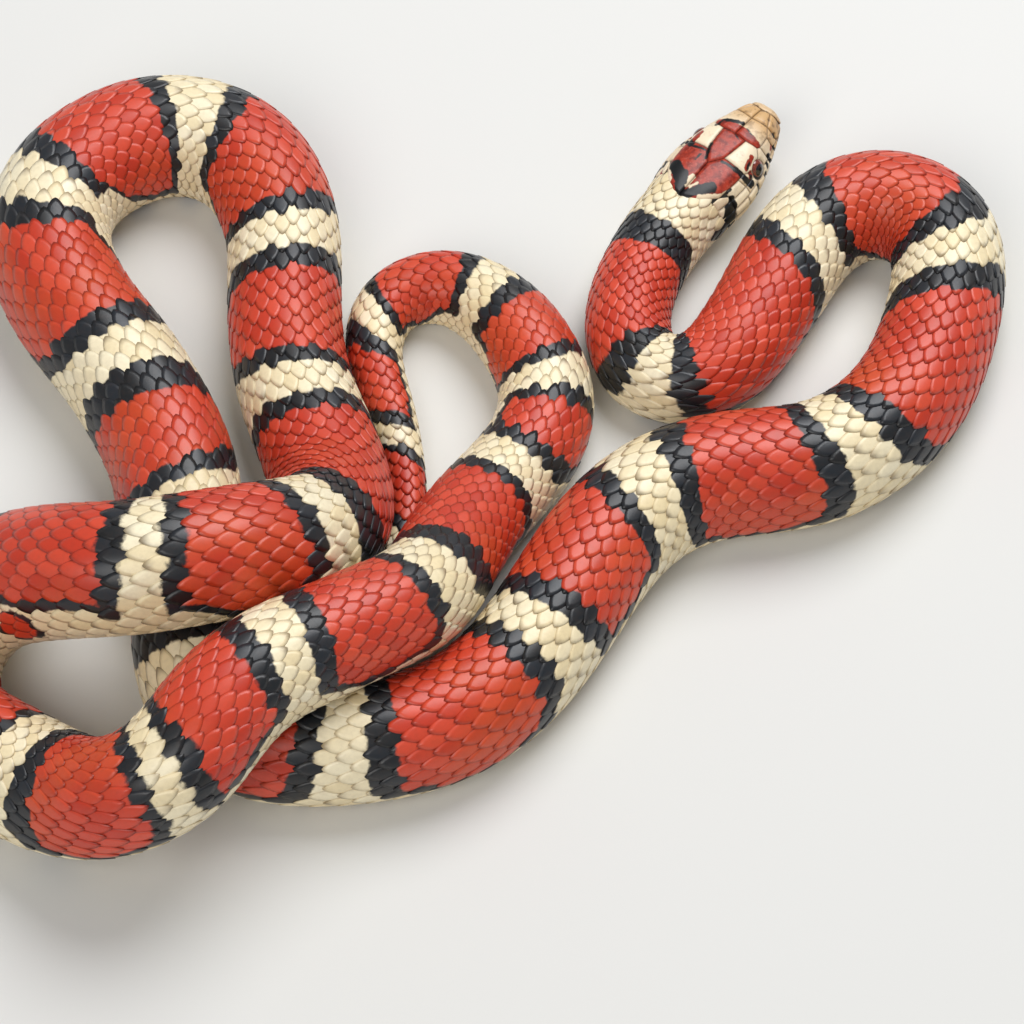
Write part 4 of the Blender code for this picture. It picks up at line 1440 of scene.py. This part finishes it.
# %% The small scales of the throat
THROAT_START = 10.9
THROAT_PITCH = 1.6
THROAT_ROW_WIDTH = 0.82
THROAT_SIDE_ROWS = 7
THROAT_COUNT = 6
THROAT_SCALE = (1.2, 0.74)
THROAT_TILT = (-0.02, 0.2, 0.05, 0.12)

throat_cells = []
for row in range(-THROAT_SIDE_ROWS, THROAT_SIDE_ROWS + 1):
    for number in range(THROAT_COUNT):
        behind = THROAT_START + THROAT_PITCH * number + (THROAT_PITCH / 2 if row % 2 else 0.0)
        length = float(np.interp(behind, along, half_length))
        throat_cells.append((behind, length + THROAT_ROW_WIDTH * row, row, number))
throat_cells = np.array(throat_cells)
throat_grid = (1 / (THROAT_COUNT + 1), 1 / (2 * THROAT_SIDE_ROWS + 1))
throat_uv = np.column_stack([
    (throat_cells[:, 3] + 0.5 + 0.5 * (throat_cells[:, 2] % 2)) / (THROAT_COUNT + 1),
    (throat_cells[:, 2] + THROAT_SIDE_ROWS + 0.5) / (2 * THROAT_SIDE_ROWS + 1),
    np.full((len(throat_cells), 2), throat_grid)])
throat_size = np.full((len(throat_cells), 2), THROAT_SCALE)
grow("throat_scales", throat_cells, scale_points, one_scale, throat_size, THROAT_TILT, throat_uv)

# %% [markdown]
# ## Eyes
#
# A snake's eye has no lids. A clear scale covers it, so it shines like a wet bead: a narrow
# red-brown iris round a large black pupil. The eyes are full spheres in their sockets.

# %% The finish of the eyes
PUPIL = srgb(8, 8, 10)
IRIS_DARK = srgb(70, 22, 16)
IRIS_BRIGHT = srgb(150, 62, 38)
EYE_RIM = srgb(24, 12, 10)
eye_finish = Finish("eye_glass", Roughness=0.08, Coat_Weight=1.0, Coat_Roughness=0.03)
gaze = eye_finish.attribute("gaze", "Vector")
look_x, look_y, _ = eye_finish.parts(gaze)
off_centre = (look_x * look_x + look_y * look_y) ** 0.5
iris_streaks = eye_finish.noise(gaze, 14.0, 4.0)
iris = eye_finish.blend(iris_streaks.rise(0.3, 0.7), IRIS_DARK, IRIS_BRIGHT)
iris = eye_finish.blend(off_centre.rise(0.78, 0.95), iris, EYE_RIM)
eye_colour = eye_finish.blend(off_centre.rise(0.50, 0.56), PUPIL, iris)
eye_material = eye_finish.show(Base_Color=eye_colour)
print("nodes in the finish of the eyes:", len(eye_finish.tree.nodes))

# %% Two eyeballs
EYE_RADIUS = 1.75
# The eyes look outwards, a little upwards and forwards.
LOOK_OUT = 0.90
LOOK_UP = 0.36
LOOK_FORWARD = 0.12


def head_point(behind, right, up):
    """A place on the head in millimetres: behind the snout, to its right, above its axis."""
    return HEAD_TIP - PLAN_CENTRE - forward * behind + head_right * right + head_up * up


for side, name in ((1, "eye_right"), (-1, "eye_left")):
    ball = bmesh.new()
    ball.loops.layers.uv.new("OFBake")
    bmesh.ops.create_uvsphere(ball, u_segments=48, v_segments=32, radius=EYE_RADIUS, calc_uvs=True)
    mesh = bpy.data.meshes.new(name)
    ball.to_mesh(mesh)
    ball.free()
    local = points_of(mesh)
    give(mesh, "gaze", "FLOAT_VECTOR", local / EYE_RADIUS)
    look = head_right * side * LOOK_OUT + head_up * LOOK_UP + forward * LOOK_FORWARD
    look /= np.linalg.norm(look)
    level = np.cross(head_up, look)
    level /= np.linalg.norm(level)
    turn = np.stack([level, np.cross(look, level), look], axis=0)
    centre = head_point(EYE_PLACE[0], EYE_PLACE[1] * side, EYE_PLACE[2])
    mesh.vertices.foreach_set("co", ((local @ turn + centre) * MM).ravel())
    eye = piece("round_" + name, mesh, eye_material)
    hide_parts(name)

# %% [markdown]
# ## Floor, light and camera
#
# The floor is one pale square, far larger than the animal, so that no edge shows.

# %% The floor
FLOOR_HALF_SIDE = 1.5
floor_mesh = bpy.data.meshes.new("floor")
sheet = bmesh.new()
bmesh.ops.create_grid(sheet, x_segments=1, y_segments=1, size=FLOOR_HALF_SIDE)
sheet.to_mesh(floor_mesh)
sheet.free()
floor = bpy.data.objects.new("floor", floor_mesh)
floor_finish = Finish("pale_floor", Base_Color=srgb(222, 221, 217), Roughness=0.7)
floor_mesh.materials.append(floor_finish.material)
bpy.context.scene.collection.objects.link(floor)
print("the floor is", 2 * FLOOR_HALF_SIDE, "m wide")

# %% [markdown]
# Daylight under a bright sky is soft and comes from above, so one large lamp stands high behind the
# animal to the right, a weaker one fills from the front, and the world adds an even glow. Two discs
# are simpler than a picture of a sky and give the same long, soft shine on the backs of the coils.

# %% The light
AIM = Vector((0.00835, -0.0037, 0.0))
GLOW = (0.93, 0.96, 1.0, 1.0)
GLOW_STRENGTH = 0.30


def point_at(thing, target):
    """Turns a lamp or camera so that it looks at a place."""
    thing.rotation_euler = (target - thing.location).to_track_quat("-Z", "Y").to_euler()


def lamp(name, location, size, watts, colour):
    light = bpy.data.lights.new(name, "AREA")
    light.shape = "DISK"
    light.size = size
    light.energy = watts
    light.color = colour
    holder = bpy.data.objects.new(name, light)
    holder.location = location
    point_at(holder, AIM)
    bpy.context.scene.collection.objects.link(holder)


lamp("sky_lamp", (0.20, 0.36, 0.64), 0.55, 4.9, (0.97, 0.98, 1.0))
lamp("front_fill", (-0.30, -0.55, 0.65), 0.6, 3.2, (1.0, 0.98, 0.95))
world = bpy.data.worlds.new("studio")
world.use_nodes = True
world.node_tree.nodes["Background"].inputs["Color"].default_value = GLOW
world.node_tree.nodes["Background"].inputs["Strength"].default_value = GLOW_STRENGTH
bpy.context.scene.world = world
bpy.context.scene.view_settings.view_transform = "Standard"
print("lamps:", len(bpy.data.lights))

# %% [markdown]
# The camera looks down steeply from the front, from far away, as through a long lens. That keeps
# the near and far coils at the same scale.

# %% The camera
CAMERA_OFFSET = Vector((0.0, -0.3812, 0.5871))
LENS = 173.9
camera = bpy.data.objects.new("camera", bpy.data.cameras.new("camera"))
camera.data.lens = LENS
camera.data.sensor_width = 36.0
camera.location = AIM + CAMERA_OFFSET
point_at(camera, AIM)
bpy.context.scene.collection.objects.link(camera)
bpy.context.scene.camera = camera
bpy.context.view_layer.update()
print("the camera stands", round(CAMERA_OFFSET.length, 2), "m away")
